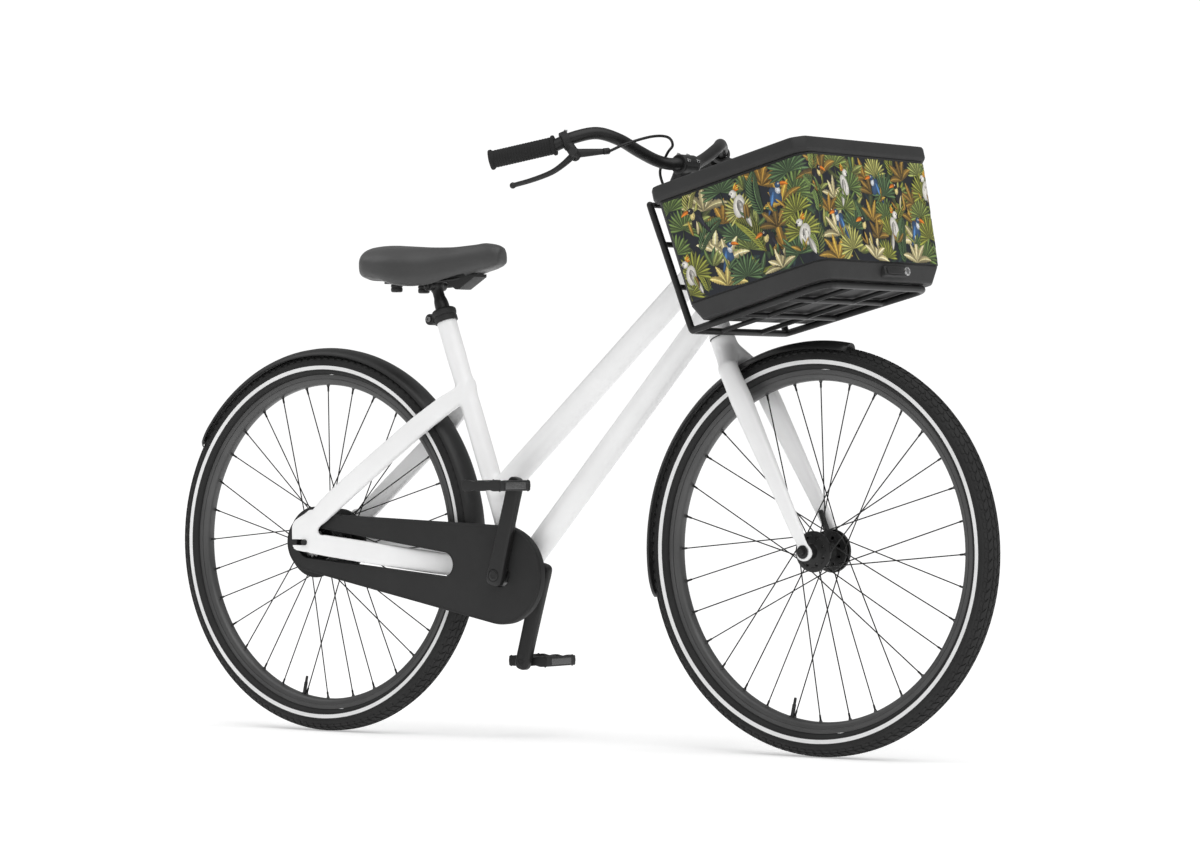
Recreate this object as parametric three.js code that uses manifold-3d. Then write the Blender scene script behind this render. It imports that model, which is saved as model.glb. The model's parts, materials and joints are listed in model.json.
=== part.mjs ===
// Step-through city bicycle with a carrier crate in front of the handlebar and a side stand.
// Millimetres: +X forward, +Y to the rider's left, +Z up. The origin lies on the ground,
// midway between the two axles, in the wheels' middle plane.
import * as THREE from 'three';
import { mergeVertices } from 'three/addons/utils/BufferGeometryUtils.js';
import Module from 'manifold-3d';

const wasm = await Module();
wasm.setup();

// ---------------------------------------------------------------- driving dimensions
const GAP = 0.3; // clearance between neighbouring pieces
const WHEEL_RADIUS = 358;
const WHEELBASE = 1121.6;
const WHEEL_FACETS = 40;
const RIM_OUTER = 317;
const RIM_INNER = 297;
const SPOKES_PER_SIDE = 16;
const FENDER_RADIUS = 367.5;
const HEAD_ANGLE = THREE.MathUtils.degToRad(68);
const HEAD_TUBE_RADIUS = 21;
const HEAD_TUBE_LENGTH = 205;
const STEERER_RADIUS = 13;
const SEAT_ANGLE = THREE.MathUtils.degToRad(69.8);
const SEAT_TUBE_RADIUS = 18.5;
const SEAT_TUBE_LENGTH = 504;
const SEATPOST_RADIUS = 13.6;
const MAIN_TUBE_RADIUS = 23;
const BB_RADIUS = 22;
const BB_LENGTH = 68;
const CRANK_LENGTH = 170;
const CRANK_LEAN = THREE.MathUtils.degToRad(79.6);
const CHAINRING_RADIUS = 72;
const SPROCKET_RADIUS = 32;
const GUARD_OUTER_Y = -58;
const GUARD_DEPTH = 18;
const STAY_REAR_Y = 66;
const BAR_RADIUS = 11;
const GRIP_RADIUS = 15.5;
const CRATE_TILT = THREE.MathUtils.degToRad(14.5);
const CRATE_HEIGHT = 245;
const CARRIER_TUBE = 6.5;
const STAND_SWING = THREE.MathUtils.degToRad(6); // the folded stand's rise towards the rear

const REAR_AXLE = new THREE.Vector3(-WHEELBASE / 2, 0, WHEEL_RADIUS);
const FRONT_AXLE = new THREE.Vector3(WHEELBASE / 2, 0, WHEEL_RADIUS);
const BB = new THREE.Vector3(-104, 0, 305);
const LOWER_RACE = new THREE.Vector3(352, 0, 728);
const STEER_AXIS = new THREE.Vector3(-Math.cos(HEAD_ANGLE), 0, Math.sin(HEAD_ANGLE));
const SEAT_AXIS = new THREE.Vector3(-Math.cos(SEAT_ANGLE), 0, Math.sin(SEAT_ANGLE));
const CARRIER_BACK = new THREE.Vector3(387.6, 0, 742);
const CRATE_BASE = new THREE.Vector3(559, 0, 793);

// ---------------------------------------------------------------- colours
const FRAME_WHITE = { color: 0xf2f2f2, roughness: 0.35, metalness: 0.1 };
const SATIN_BLACK = { color: 0x2b2b2c, roughness: 0.5, metalness: 0.4 };
const PLASTIC_BLACK = { color: 0x363636, roughness: 0.6, metalness: 0.0 };
const RUBBER_BLACK = { color: 0x2e2e2e, roughness: 0.85, metalness: 0.0 };
const RIM_GREY = { color: 0x55565a, roughness: 0.45, metalness: 0.6 };
const STEEL = { color: 0x8b8d90, roughness: 0.35, metalness: 0.9 };
const PRINT_NAVY = { color: 0x22303c, roughness: 0.6, metalness: 0.0 };

// ---------------------------------------------------------------- geometry helpers
const vec = (x, y, z) => new THREE.Vector3(x, y, z);
const along = (start, axis, distance) => start.clone().addScaledVector(axis, distance);
const onSteerer = (distance) => along(LOWER_RACE, STEER_AXIS, distance);
const onSeatTube = (distance) => along(BB, SEAT_AXIS, distance);
const mirrored = (points) => points.map((p) => vec(p.x, -p.y, p.z));

function signedVolume(geometry) {
  const source = geometry.index ? geometry.toNonIndexed() : geometry;
  const p = source.getAttribute('position');
  const [a, b, c] = [vec(), vec(), vec()];
  let volume = 0;
  for (let i = 0; i < p.count; i += 3) {
    a.fromBufferAttribute(p, i);
    b.fromBufferAttribute(p, i + 1);
    c.fromBufferAttribute(p, i + 2);
    volume += a.dot(b.cross(c));
  }
  return volume;
}

// Merges shared vertices and turns the faces outward.
function closed(geometry) {
  geometry.deleteAttribute('normal');
  geometry.deleteAttribute('uv');
  const merged = mergeVertices(geometry, 1e-3);
  if (signedVolume(merged) < 0) {
    const index = merged.index.array;
    for (let i = 0; i < index.length; i += 3) {
      [index[i], index[i + 1]] = [index[i + 1], index[i]];
    }
  }
  return merged;
}

function toSolid(geometry) {
  const shape = closed(geometry.clone());
  const mesh = new wasm.Mesh({
    numProp: 3,
    vertProperties: new Float32Array(shape.getAttribute('position').array),
    triVerts: new Uint32Array(shape.index.array),
  });
  return new wasm.Manifold(mesh);
}

function toGeometry(solid) {
  const mesh = solid.getMesh();
  const geometry = new THREE.BufferGeometry();
  geometry.setAttribute('position', new THREE.BufferAttribute(mesh.vertProperties, 3));
  geometry.setIndex(new THREE.BufferAttribute(mesh.triVerts, 1));
  return geometry;
}

const join = (...parts) => toGeometry(parts.map(toSolid).reduce((a, b) => a.add(b)));
const cut = (part, ...tools) => toGeometry(tools.map(toSolid).reduce((a, b) => a.subtract(b), toSolid(part)));

// A straight round bar between two points, optionally tapered.
function rod(start, end, radius, { sides = 12, endRadius = radius } = {}) {
  const axis = end.clone().sub(start);
  const bar = new THREE.CylinderGeometry(endRadius, radius, axis.length(), sides);
  bar.applyQuaternion(new THREE.Quaternion().setFromUnitVectors(vec(0, 1, 0), axis.clone().normalize()));
  const middle = start.clone().add(end).multiplyScalar(0.5);
  return bar.translate(middle.x, middle.y, middle.z);
}

const box = (size, centre) => new THREE.BoxGeometry(size.x, size.y, size.z).translate(centre.x, centre.y, centre.z);
const ball = (radius, centre) => new THREE.SphereGeometry(radius, 6, 4).translate(centre.x, centre.y, centre.z);

// Joins a closed outline, placed by each matrix in turn, into one capped body.
function sweep(outline, matrices) {
  const count = outline.length;
  const positions = [];
  for (const matrix of matrices) {
    for (const p of outline) {
      positions.push(...vec(p.x, p.y, 0).applyMatrix4(matrix).toArray());
    }
  }
  const index = [];
  for (let ring = 0; ring + 1 < matrices.length; ring += 1) {
    for (let i = 0; i < count; i += 1) {
      const a = ring * count + i;
      const b = ring * count + ((i + 1) % count);
      index.push(a, b, b + count, a, b + count, a + count);
    }
  }
  const last = (matrices.length - 1) * count;
  for (const [a, b, c] of THREE.ShapeUtils.triangulateShape(outline, [])) {
    index.push(c, b, a, last + a, last + b, last + c);
  }
  const geometry = new THREE.BufferGeometry();
  geometry.setAttribute('position', new THREE.Float32BufferAttribute(positions, 3));
  geometry.setIndex(index);
  return closed(geometry);
}

// A round tube along a smooth curve through the points.
function bentTube(points, radius, steps, sides = 8) {
  const section = new THREE.Shape();
  section.absarc(0, 0, radius, 0, 2 * Math.PI);
  const path = new THREE.CatmullRomCurve3(points, false, 'centripetal');
  return new THREE.ExtrudeGeometry(section, { steps, curveSegments: sides / 2, extrudePath: path });
}

// A tube along straight lines, with a ball at each corner.
function jointedTube(points, radius, sides = 8) {
  const pieces = [];
  for (let i = 0; i + 1 < points.length; i += 1) {
    pieces.push(rod(points[i], points[i + 1], radius, { sides }));
    if (i > 0) {
      pieces.push(ball(radius, points[i]));
    }
  }
  return join(...pieces);
}

// Revolves a closed (radius, y) outline about the wheel's axle, with one facet facing straight down.
function wheelRing(outline, facets = WHEEL_FACETS) {
  const grow = 1 / Math.cos(Math.PI / facets);
  const points = outline.map(([radius, y]) => new THREE.Vector2(radius * grow, y));
  if (outline[0][0] > 0) {
    points.push(points[0].clone());
  }
  return closed(new THREE.LatheGeometry(points, facets, Math.PI / facets));
}

// Revolves a (radius, height) outline about an axis that starts at a point.
function turned(outline, start, axis, segments = 16) {
  const points = outline.map(([radius, height]) => new THREE.Vector2(radius, height));
  const shape = new THREE.LatheGeometry(points, segments);
  shape.applyQuaternion(new THREE.Quaternion().setFromUnitVectors(vec(0, 1, 0), axis.clone().normalize()));
  return closed(shape.translate(start.x, start.y, start.z));
}

const tubeOutline = (outer, inner, length) => [
  [inner, 0],
  [outer, 0],
  [outer, length],
  [inner, length],
  [inner, 0],
];

// Extrudes a shape drawn in the X-Z plane between two values of y.
function plate(shape, yFrom, yTo, curveSegments = 10) {
  const depth = yTo - yFrom;
  const body = new THREE.ExtrudeGeometry(shape, { depth, bevelEnabled: false, curveSegments });
  body.rotateX(Math.PI / 2);
  return closed(body.translate(0, yTo, 0));
}

// The outline of a belt around two circles in the X-Z plane.
function beltShape(front, frontRadius, rear, rearRadius) {
  const direction = Math.atan2(rear.z - front.z, rear.x - front.x);
  const spread = Math.acos((frontRadius - rearRadius) / front.distanceTo(rear));
  const shape = new THREE.Shape();
  shape.absarc(front.x, front.z, frontRadius, direction + spread, direction - spread + 2 * Math.PI);
  shape.absarc(rear.x, rear.z, rearRadius, direction - spread, direction + spread);
  return shape;
}

function polygonShape(points) {
  return new THREE.Shape(points.map(([x, z]) => new THREE.Vector2(x, z)));
}

// A rectangle with cut corners, as the outline of a tray or rim.
function chamferedRectangle(halfX, halfY, chamfer) {
  const corners = [];
  for (const [sx, sy] of [[1, 1], [-1, 1], [-1, -1], [1, -1]]) {
    const alongX = new THREE.Vector2(sx * (halfX - chamfer), sy * halfY);
    const alongY = new THREE.Vector2(sx * halfX, sy * (halfY - chamfer));
    corners.push(...(sx * sy > 0 ? [alongY, alongX] : [alongX, alongY]));
  }
  return corners;
}

const group = new THREE.Group();

function add(name, geometry, finish) {
  const mesh = new THREE.Mesh(geometry, new THREE.MeshStandardMaterial(finish));
  mesh.name = name;
  group.add(mesh);
  return mesh;
}

// ---------------------------------------------------------------- wheels
const tyreOutline = [
  [WHEEL_RADIUS, -12],
  [WHEEL_RADIUS, 12],
  [349, 21],
  [335, 24],
  [RIM_OUTER + GAP, 14],
  [RIM_OUTER + GAP, -14],
  [335, -24],
  [349, -21],
];
const rimOutline = [
  [RIM_OUTER, -13.5],
  [RIM_OUTER, 13.5],
  [301, 13],
  [RIM_INNER, 8],
  [RIM_INNER, -8],
  [301, -13],
];

// The spokes of one side: two fans that cross without touching, on a band around the hub's flange.
function spokeFan(flangeRadius, flangeY, lead, phase) {
  const bandStart = vec(0, flangeY - 2.5, 0);
  const spokes = [turned(tubeOutline(flangeRadius + 4.5, flangeRadius + 2, 5), bandStart, vec(0, 1, 0), 16)];
  for (let i = 0; i < SPOKES_PER_SIDE; i += 1) {
    const rimAngle = phase + (2 * Math.PI * i) / SPOKES_PER_SIDE;
    const hubAngle = rimAngle + (i % 2 ? lead : -lead);
    const root = flangeRadius + 3;
    const hub = vec(root * Math.cos(hubAngle), flangeY + (i % 2 ? 1.6 : -1.6), root * Math.sin(hubAngle));
    const reach = RIM_INNER - 1;
    const rim = vec(reach * Math.cos(rimAngle), Math.sign(flangeY) * 2.5, reach * Math.sin(rimAngle));
    spokes.push(rod(hub, rim, 1.1, { sides: 3 }));
  }
  return join(...spokes);
}

function addWheel(side, centre, hubOutline, flangeRadius, flangeY) {
  const lead = THREE.MathUtils.degToRad(58);
  const step = Math.PI / SPOKES_PER_SIDE;
  const pieces = [
    add(`${side}_tyre`, wheelRing(tyreOutline), RUBBER_BLACK),
    add(`${side}_rim`, wheelRing(rimOutline), RIM_GREY),
    add(`${side}_hub`, wheelRing(hubOutline, 20), SATIN_BLACK),
    add(`${side}_spokes_right`, spokeFan(flangeRadius, -flangeY, lead, 0), SATIN_BLACK),
    add(`${side}_spokes_left`, spokeFan(flangeRadius, flangeY, lead, step), SATIN_BLACK),
  ];
  for (const piece of pieces) {
    piece.position.copy(centre);
  }
}

const frontHubOutline = [
  [5.4, -46],
  [12, -46],
  [14, -30],
  [34, -28],
  [34, -22],
  [15, -18],
  [15, 18],
  [34, 22],
  [34, 28],
  [30, 30],
  [5.4, 30],
];
const rearHubOutline = [
  [5.4, -33],
  [15, -33],
  [17, -28],
  [34, -27],
  [34, -22],
  [18, -18],
  [18, 18],
  [34, 22],
  [34, 27],
  [30, 30],
  [5.4, 30],
];
addWheel('front', FRONT_AXLE, frontHubOutline, 34, 25);
addWheel('rear', REAR_AXLE, rearHubOutline, 34, 24);

// An axle with a nut outside each dropout, and the drum brake's fixed plate with its arm on the left.
function axleOutline(dropoutInner, dropoutOuter, end) {
  return [
    [0, -end],
    [5, -end],
    [5, -dropoutOuter - 7],
    [8.5, -dropoutOuter - 7],
    [8.5, -dropoutOuter - GAP],
    [4.6, -dropoutOuter - GAP],
    [4.6, dropoutOuter + GAP],
    [8.5, dropoutOuter + GAP],
    [8.5, dropoutOuter + 7],
    [5, dropoutOuter + 7],
    [5, end],
    [0, end],
  ];
}

function brakePlate(centre, radius, yFrom, yTo, armEnd) {
  const disc = turned(tubeOutline(radius, 5.4, yTo - yFrom), vec(centre.x, yFrom, centre.z), vec(0, 1, 0), 20);
  const armRoot = vec(centre.x, (yFrom + yTo) / 2, centre.z);
  const direction = armEnd.clone().sub(armRoot).normalize();
  const arm = rod(along(armRoot, direction, radius - 8), armEnd, 5, { sides: 6 });
  return join(disc, arm);
}

const frontAxle = turned(axleOutline(51, 59, 74), vec(0, 0, 0), vec(0, 1, 0), 12);
add('front_axle', frontAxle, SATIN_BLACK).position.copy(FRONT_AXLE);
const rearAxle = turned(axleOutline(62, 71, 84), vec(0, 0, 0), vec(0, 1, 0), 12);
add('rear_axle', rearAxle, SATIN_BLACK).position.copy(REAR_AXLE);
add('front_brake_plate', brakePlate(FRONT_AXLE, 38, 31, 46, vec(533, 40, 425)), SATIN_BLACK);
add('rear_brake_plate', brakePlate(REAR_AXLE, 62, 31, 50, vec(-480, 42, 349)), SATIN_BLACK);

// ---------------------------------------------------------------- fenders
function fender(centre, fromDegrees, toDegrees) {
  const shell = [[-27, 353], [-22, 361], [-12, 366], [0, FENDER_RADIUS], [12, 366], [22, 361], [27, 353]];
  const inner = [[24.8, 353], [20.6, 359], [11, 363.6], [-11, 363.6], [-20.6, 359], [-24.8, 353]];
  const outline = [...shell, ...inner].map(([y, radius]) => new THREE.Vector2(radius, y));
  const matrices = [];
  const steps = 18;
  for (let i = 0; i <= steps; i += 1) {
    const angle = THREE.MathUtils.degToRad(fromDegrees + ((toDegrees - fromDegrees) * i) / steps);
    const radial = vec(Math.cos(angle), 0, Math.sin(angle));
    const tangent = vec(-Math.sin(angle), 0, Math.cos(angle));
    matrices.push(new THREE.Matrix4().makeBasis(radial, vec(0, 1, 0), tangent).setPosition(centre));
  }
  return sweep(outline, matrices);
}

add('front_fender', fender(FRONT_AXLE, 80, 194), PLASTIC_BLACK);
add('rear_fender', fender(REAR_AXLE, -8, 150), PLASTIC_BLACK);

// ---------------------------------------------------------------- frame
const headTop = onSteerer(HEAD_TUBE_LENGTH);
const headTube = turned(
  tubeOutline(HEAD_TUBE_RADIUS, STEERER_RADIUS + 1, HEAD_TUBE_LENGTH - 7), onSteerer(7), STEER_AXIS, 16);
add('head_tube', headTube, FRAME_WHITE);

const headClearance = rod(onSteerer(-40), onSteerer(260), HEAD_TUBE_RADIUS + GAP, { sides: 16 });
const seatClearance = rod(onSeatTube(-60), onSeatTube(560), SEAT_TUBE_RADIUS + GAP, { sides: 16 });
const bbClearance = rod(vec(BB.x, -60, BB.z), vec(BB.x, 60, BB.z), BB_RADIUS + GAP, { sides: 16 });

const bbShell = turned(tubeOutline(BB_RADIUS, 9, BB_LENGTH), vec(BB.x, -BB_LENGTH / 2, BB.z), vec(0, 1, 0));
add('bottom_bracket', bbShell, FRAME_WHITE);

const seatTubeBar = rod(onSeatTube(0), onSeatTube(SEAT_TUBE_LENGTH), SEAT_TUBE_RADIUS, { sides: 16 });
const seatTubeBore = rod(onSeatTube(300), onSeatTube(540), SEATPOST_RADIUS + 0.8, { sides: 16 });
add('seat_tube', cut(seatTubeBar, seatTubeBore, bbClearance), FRAME_WHITE);

const topTubeBar = rod(onSeatTube(153), onSteerer(137), MAIN_TUBE_RADIUS, { sides: 16 });
add('top_tube', cut(topTubeBar, seatClearance, headClearance), FRAME_WHITE);
const downTubeBar = rod(BB, onSteerer(61), MAIN_TUBE_RADIUS, { sides: 16 });
add('down_tube', cut(downTubeBar, seatClearance, bbClearance, headClearance), FRAME_WHITE);

// Stays are flat bars: each station gives the centre (x, y, z), the thickness and the height.
const stayOutline = chamferedRectangle(0.5, 0.5, 0.16);
function stay(stations, mirror) {
  const matrices = stations.map(([x, y, z, thickness, height]) => {
    const matrix = new THREE.Matrix4().makeBasis(vec(0, thickness, 0), vec(0, 0, height), vec(1, 0, 0));
    return matrix.setPosition(x, mirror * y, z);
  });
  return sweep(stayOutline, matrices);
}

const chainstayStations = [
  [-112, 26, 306, 14, 36],
  [-160, 30, 311, 11, 38],
  [-212, 32.6, 317.5, 8, 40],
  [-242, 33, 321, 8, 40],
  [-280, 39, 325, 11, 41],
  [-400, 54, 339, 14, 41],
  [-500, STAY_REAR_Y - 1.5, 351, 13, 40],
  [-545, STAY_REAR_Y, 356, 12, 38],
];
const seatstayStations = [
  [-548, STAY_REAR_Y, 396, 12, 48],
  [-504, 65.6, 429, 13, 50],
  [-346, 50, 547.5, 14, 48],
  [-290, 39.5, 589.5, 14, 45],
  [-248, 26, 621, 14, 42],
  [-220, 13, 642, 14, 38],
];

const dropoutOutline = polygonShape([
  [-574, 340], [-586, 350], [-586, 352.5], [-556, 352.5], [-553, 358], [-556, 363.5],
  [-588, 363.5], [-592, 372], [-590, 386], [-572, 404], [-548, 402], [-530, 372], [-530, 340],
]);

for (const [side, mirror] of [['right', -1], ['left', 1]]) {
  const plateInner = mirror * 62;
  const plateOuter = mirror * 71;
  const dropout = plate(dropoutOutline, Math.min(plateInner, plateOuter), Math.max(plateInner, plateOuter));
  const chainstay = cut(join(stay(chainstayStations, mirror), dropout), bbClearance);
  add(`${side}_chainstay`, chainstay, FRAME_WHITE);
  const dropoutClearance = plate(
    polygonShape([[-620, 325], [-620, 409], [-548, 404.5], [-528, 373], [-528, 325]]),
    mirror * 67 - 9, mirror * 67 + 9);
  add(`${side}_seatstay`, cut(stay(seatstayStations, mirror), seatClearance, dropoutClearance), FRAME_WHITE);
}

const seatCollarOutline = [
  [SEATPOST_RADIUS + 0.8, 0], [18, 0], [19, 4], [22, 12], [20, 16], [15.4, 17.5], [SEATPOST_RADIUS + 0.8, 17.5],
  [SEATPOST_RADIUS + 0.8, 0],
];
const seatCollar = turned(seatCollarOutline, onSeatTube(SEAT_TUBE_LENGTH + GAP), SEAT_AXIS, 20);
add('seat_collar', seatCollar, PLASTIC_BLACK);

// ---------------------------------------------------------------- saddle
const seatpostTop = onSeatTube(572);
const seatpost = rod(onSeatTube(360), seatpostTop, SEATPOST_RADIUS, { sides: 12 });
const saddleClamp = rod(vec(seatpostTop.x, -24, 838), vec(seatpostTop.x, 24, 838), 10, { sides: 8 });
add('seatpost', join(seatpost, saddleClamp), SATIN_BLACK);

// Each station runs across the saddle: x, half width, top and underside.
const saddleStations = [
  [-484, 34, 900, 872],
  [-474, 62, 911, 862],
  [-440, 82, 916, 856],
  [-390, 85, 914, 855],
  [-335, 70, 910, 856],
  [-285, 46, 909, 858],
  [-235, 32, 912, 860],
  [-185, 27, 916, 866],
  [-152, 21, 911, 870],
  [-139, 10, 899, 880],
];
const saddleOutline = [];
for (let i = 0; i < 12; i += 1) {
  const angle = (2 * Math.PI * (i + 0.5)) / 12;
  const [c, s] = [Math.cos(angle), Math.sin(angle)];
  saddleOutline.push(new THREE.Vector2(Math.sign(c) * Math.abs(c) ** 0.7, Math.sign(s) * Math.abs(s) ** 0.7));
}
const saddleMatrices = saddleStations.map(([x, half, top, bottom]) => {
  const matrix = new THREE.Matrix4();
  matrix.makeBasis(vec(0, half, 0), vec(0, 0, (top - bottom) / 2), vec(1, 0, 0));
  return matrix.setPosition(x, 0, (top + bottom) / 2);
});
add('saddle', sweep(saddleOutline, saddleMatrices), RUBBER_BLACK);

function saddleBase() {
  const pieces = [plate(polygonShape([[-430, 844], [-430, 854], [-195, 858], [-195, 851]]), -20, 20)];
  for (const y of [-40, 40]) {
    pieces.push(rod(vec(-405, y, 834), vec(-405, y, 854), 11, { sides: 10 }));
    pieces.push(rod(vec(-405, y, 849), vec(-405, 0, 849), 5, { sides: 6 }));
  }
  const clampClearance = rod(vec(seatpostTop.x, -25, 838), vec(seatpostTop.x, 25, 838), 10 + GAP, { sides: 8 });
  return cut(join(...pieces), clampClearance);
}
const saddleClearance = rod(along(seatpostTop, SEAT_AXIS, -60), along(seatpostTop, SEAT_AXIS, 0.3), 14);
add('saddle_base', cut(saddleBase(), saddleClearance), PLASTIC_BLACK);

// ---------------------------------------------------------------- chain, guard and crankset
const AXLE_IN_PLANE = vec(REAR_AXLE.x, 0, REAR_AXLE.z);
const slotFront = vec(-237, 0, 322);
const guardInner = GUARD_OUTER_Y + GUARD_DEPTH;
const slot = plate(beltShape(slotFront, 22.5, AXLE_IN_PLANE, 30), -80, -20, 8);
const slotWall = plate(beltShape(slotFront, 24.5, AXLE_IN_PLANE, 32), -80, -20, 8);

function guardCover() {
  const body = plate(beltShape(BB, 90.5, AXLE_IN_PLANE, 55), GUARD_OUTER_Y, guardInner, 9);
  const hollow = plate(beltShape(BB, 88.3, AXLE_IN_PLANE, 52.8), GUARD_OUTER_Y + 2.4, guardInner + 5, 9);
  const crankHole = rod(vec(BB.x, -70, BB.z), vec(BB.x, -30, BB.z), 22, { sides: 20 });
  return cut(body, cut(hollow, slotWall), slot, crankHole);
}
add('chain_guard', guardCover(), PLASTIC_BLACK);

function guardBack() {
  const [yFrom, yTo] = [guardInner + GAP, guardInner + 2.3];
  const back = plate(beltShape(BB, 89, AXLE_IN_PLANE, 53), yFrom, yTo, 8);
  const disc = rod(vec(AXLE_IN_PLANE.x, yFrom, AXLE_IN_PLANE.z), vec(AXLE_IN_PLANE.x, yTo, AXLE_IN_PLANE.z), 67, { sides: 24 });
  const spindleHole = rod(vec(BB.x, -70, BB.z), vec(BB.x, -20, BB.z), 14, { sides: 16 });
  return cut(join(back, disc), slot, spindleHole);
}
add('chain_guard_back', guardBack(), PLASTIC_BLACK);

const chainOuter = plate(beltShape(BB, CHAINRING_RADIUS + 8, AXLE_IN_PLANE, SPROCKET_RADIUS + 8), -52.5, -44.5, 9);
const chainInner = plate(
  beltShape(BB, CHAINRING_RADIUS + 1, AXLE_IN_PLANE, SPROCKET_RADIUS + 1), -60, -40, 9);
add('chain', cut(chainOuter, chainInner), STEEL);

function toothless(radius, bore, centre, yFrom, yTo) {
  return turned(tubeOutline(radius, bore, yTo - yFrom), vec(centre.x, yFrom, centre.z), vec(0, 1, 0), 24);
}
add('rear_sprocket', toothless(SPROCKET_RADIUS - 3, 5.4, REAR_AXLE, -50, -33.3), STEEL);

// The crankset: the right crank and the left crank stand opposite each other.
const crankDirection = vec(Math.cos(CRANK_LEAN), 0, Math.sin(CRANK_LEAN));
const crankOutline = chamferedRectangle(0.5, 0.5, 0.14);

function crank(mirror) {
  const direction = crankDirection.clone().multiplyScalar(-mirror);
  const across = vec(direction.z, 0, -direction.x);
  const stations = [
    [-17, 22, 11], [-11, 31, 13], [40, 30, 13], [CRANK_LENGTH - 20, 26, 12.5],
    [CRANK_LENGTH + 8, 25, 12.5], [CRANK_LENGTH + 14, 17, 12],
  ];
  const matrices = stations.map(([distance, width, thickness]) => {
    const matrix = new THREE.Matrix4();
    matrix.makeBasis(vec(0, thickness, 0), across.clone().multiplyScalar(width), direction);
    const centre = along(BB, direction, distance);
    return matrix.setPosition(centre.x, mirror * 66.8, centre.z);
  });
  const arm = sweep(crankOutline, matrices);
  const pedalEye = along(BB, direction, CRANK_LENGTH);
  const threadHole = rod(vec(pedalEye.x, mirror * 50, pedalEye.z), vec(pedalEye.x, mirror * 84, pedalEye.z), 5.4);
  const spindleHole = rod(vec(BB.x, mirror * 40, BB.z), vec(BB.x, mirror * 84, BB.z), 8 + GAP, { sides: 12 });
  return cut(arm, threadHole, spindleHole);
}
add('right_crank', crank(-1), SATIN_BLACK);
add('left_crank', crank(1), SATIN_BLACK);
add('crank_spindle', rod(vec(BB.x, -72, BB.z), vec(BB.x, 72, BB.z), 8), SATIN_BLACK);
add('chainring', toothless(CHAINRING_RADIUS, 8 + GAP, BB, -50, -47), STEEL);

function pedal(mirror) {
  const centre = along(BB, crankDirection, -mirror * CRANK_LENGTH);
  const body = box(vec(90, 92, 22), vec(centre.x, mirror * 124, centre.z));
  const windows = [];
  for (const sign of [-1, 1]) {
    windows.push(box(vec(24, 62, 30), vec(centre.x + sign * 25, mirror * 124, centre.z)));
  }
  const axle = rod(vec(centre.x, mirror * 61, centre.z), vec(centre.x, mirror * 100, centre.z), 5);
  return join(cut(body, ...windows), axle);
}
add('right_pedal', pedal(-1), PLASTIC_BLACK);
add('left_pedal', pedal(1), PLASTIC_BLACK);

// ---------------------------------------------------------------- side stand, folded up under the left chainstay
const STAND_PIVOT = vec(-235, 47, 276);
const STAND_LENGTH = 272;
const STAND_FOLDED = vec(-Math.cos(STAND_SWING), 0, Math.sin(STAND_SWING));
const STAND_DOWN = vec(-0.05, 0.35, -0.935).normalize();
const STAND_AXIS = STAND_FOLDED.clone().cross(STAND_DOWN).normalize();

function standMount() {
  const block = box(vec(36, 11, 38), vec(STAND_PIVOT.x, 34, STAND_PIVOT.z + 5));
  const stayRoom = stay(chainstayStations.map(([x, y, z, t, h]) => [x, y, z, t + 0.6, h + 0.6]), 1);
  const hubRoom = rod(along(STAND_PIVOT, STAND_AXIS, 7.3), along(STAND_PIVOT, STAND_AXIS, -30), 13.5, { sides: 16 });
  return cut(block, stayRoom, hubRoom);
}
add('stand_mount', standMount(), SATIN_BLACK);

function standLeg() {
  const hub = rod(along(STAND_PIVOT, STAND_AXIS, 7), along(STAND_PIVOT, STAND_AXIS, -7), 12.5);
  const shaftEnd = along(STAND_PIVOT, STAND_FOLDED, STAND_LENGTH - 20);
  const shaft = rod(STAND_PIVOT, shaftEnd, 6.8, { sides: 10, endRadius: 6 });
  const padStart = along(STAND_PIVOT, STAND_FOLDED, STAND_LENGTH - 26);
  const pad = rod(padStart, along(STAND_PIVOT, STAND_FOLDED, STAND_LENGTH), 9, { sides: 10 });
  return join(hub, shaft, pad);
}
add('stand_leg', standLeg(), SATIN_BLACK);

// ---------------------------------------------------------------- fork, stem and handlebar
const BLADE_TOP = vec(388, 43, 686);
const BLADE_END = vec(553, 55, 379);

function forkSide(mirror) {
  const top = vec(BLADE_TOP.x, mirror * BLADE_TOP.y, BLADE_TOP.z);
  const end = vec(BLADE_END.x, mirror * BLADE_END.y, BLADE_END.z);
  const crownRoot = onSteerer(-20);
  const axis = end.clone().sub(top).normalize();
  const knuckle = along(top, axis, 14);
  const section = chamferedRectangle(0.5, 0.5, 0.2);
  const stations = [[0, 38, 27], [60, 40, 27], [200, 32, 20], [330, 25, 13], [362, 24, 8]];
  const across = vec(-axis.z, 0, axis.x).normalize();
  const matrices = stations.map(([distance, width, thickness]) => {
    const matrix = new THREE.Matrix4();
    matrix.makeBasis(across.clone().multiplyScalar(width), vec(0, thickness, 0), axis);
    return matrix.setPosition(along(top, axis, distance));
  });
  const eye = new THREE.Shape();
  eye.absarc(FRONT_AXLE.x, FRONT_AXLE.z, 16, 0, 2 * Math.PI);
  const [inner, outer] = [51, 59].map((y) => mirror * y);
  const dropout = plate(eye, Math.min(inner, outer), Math.max(inner, outer), 8);
  return [rod(crownRoot, knuckle, 22, { sides: 10, endRadius: 16 }), sweep(section, matrices), dropout];
}

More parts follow.
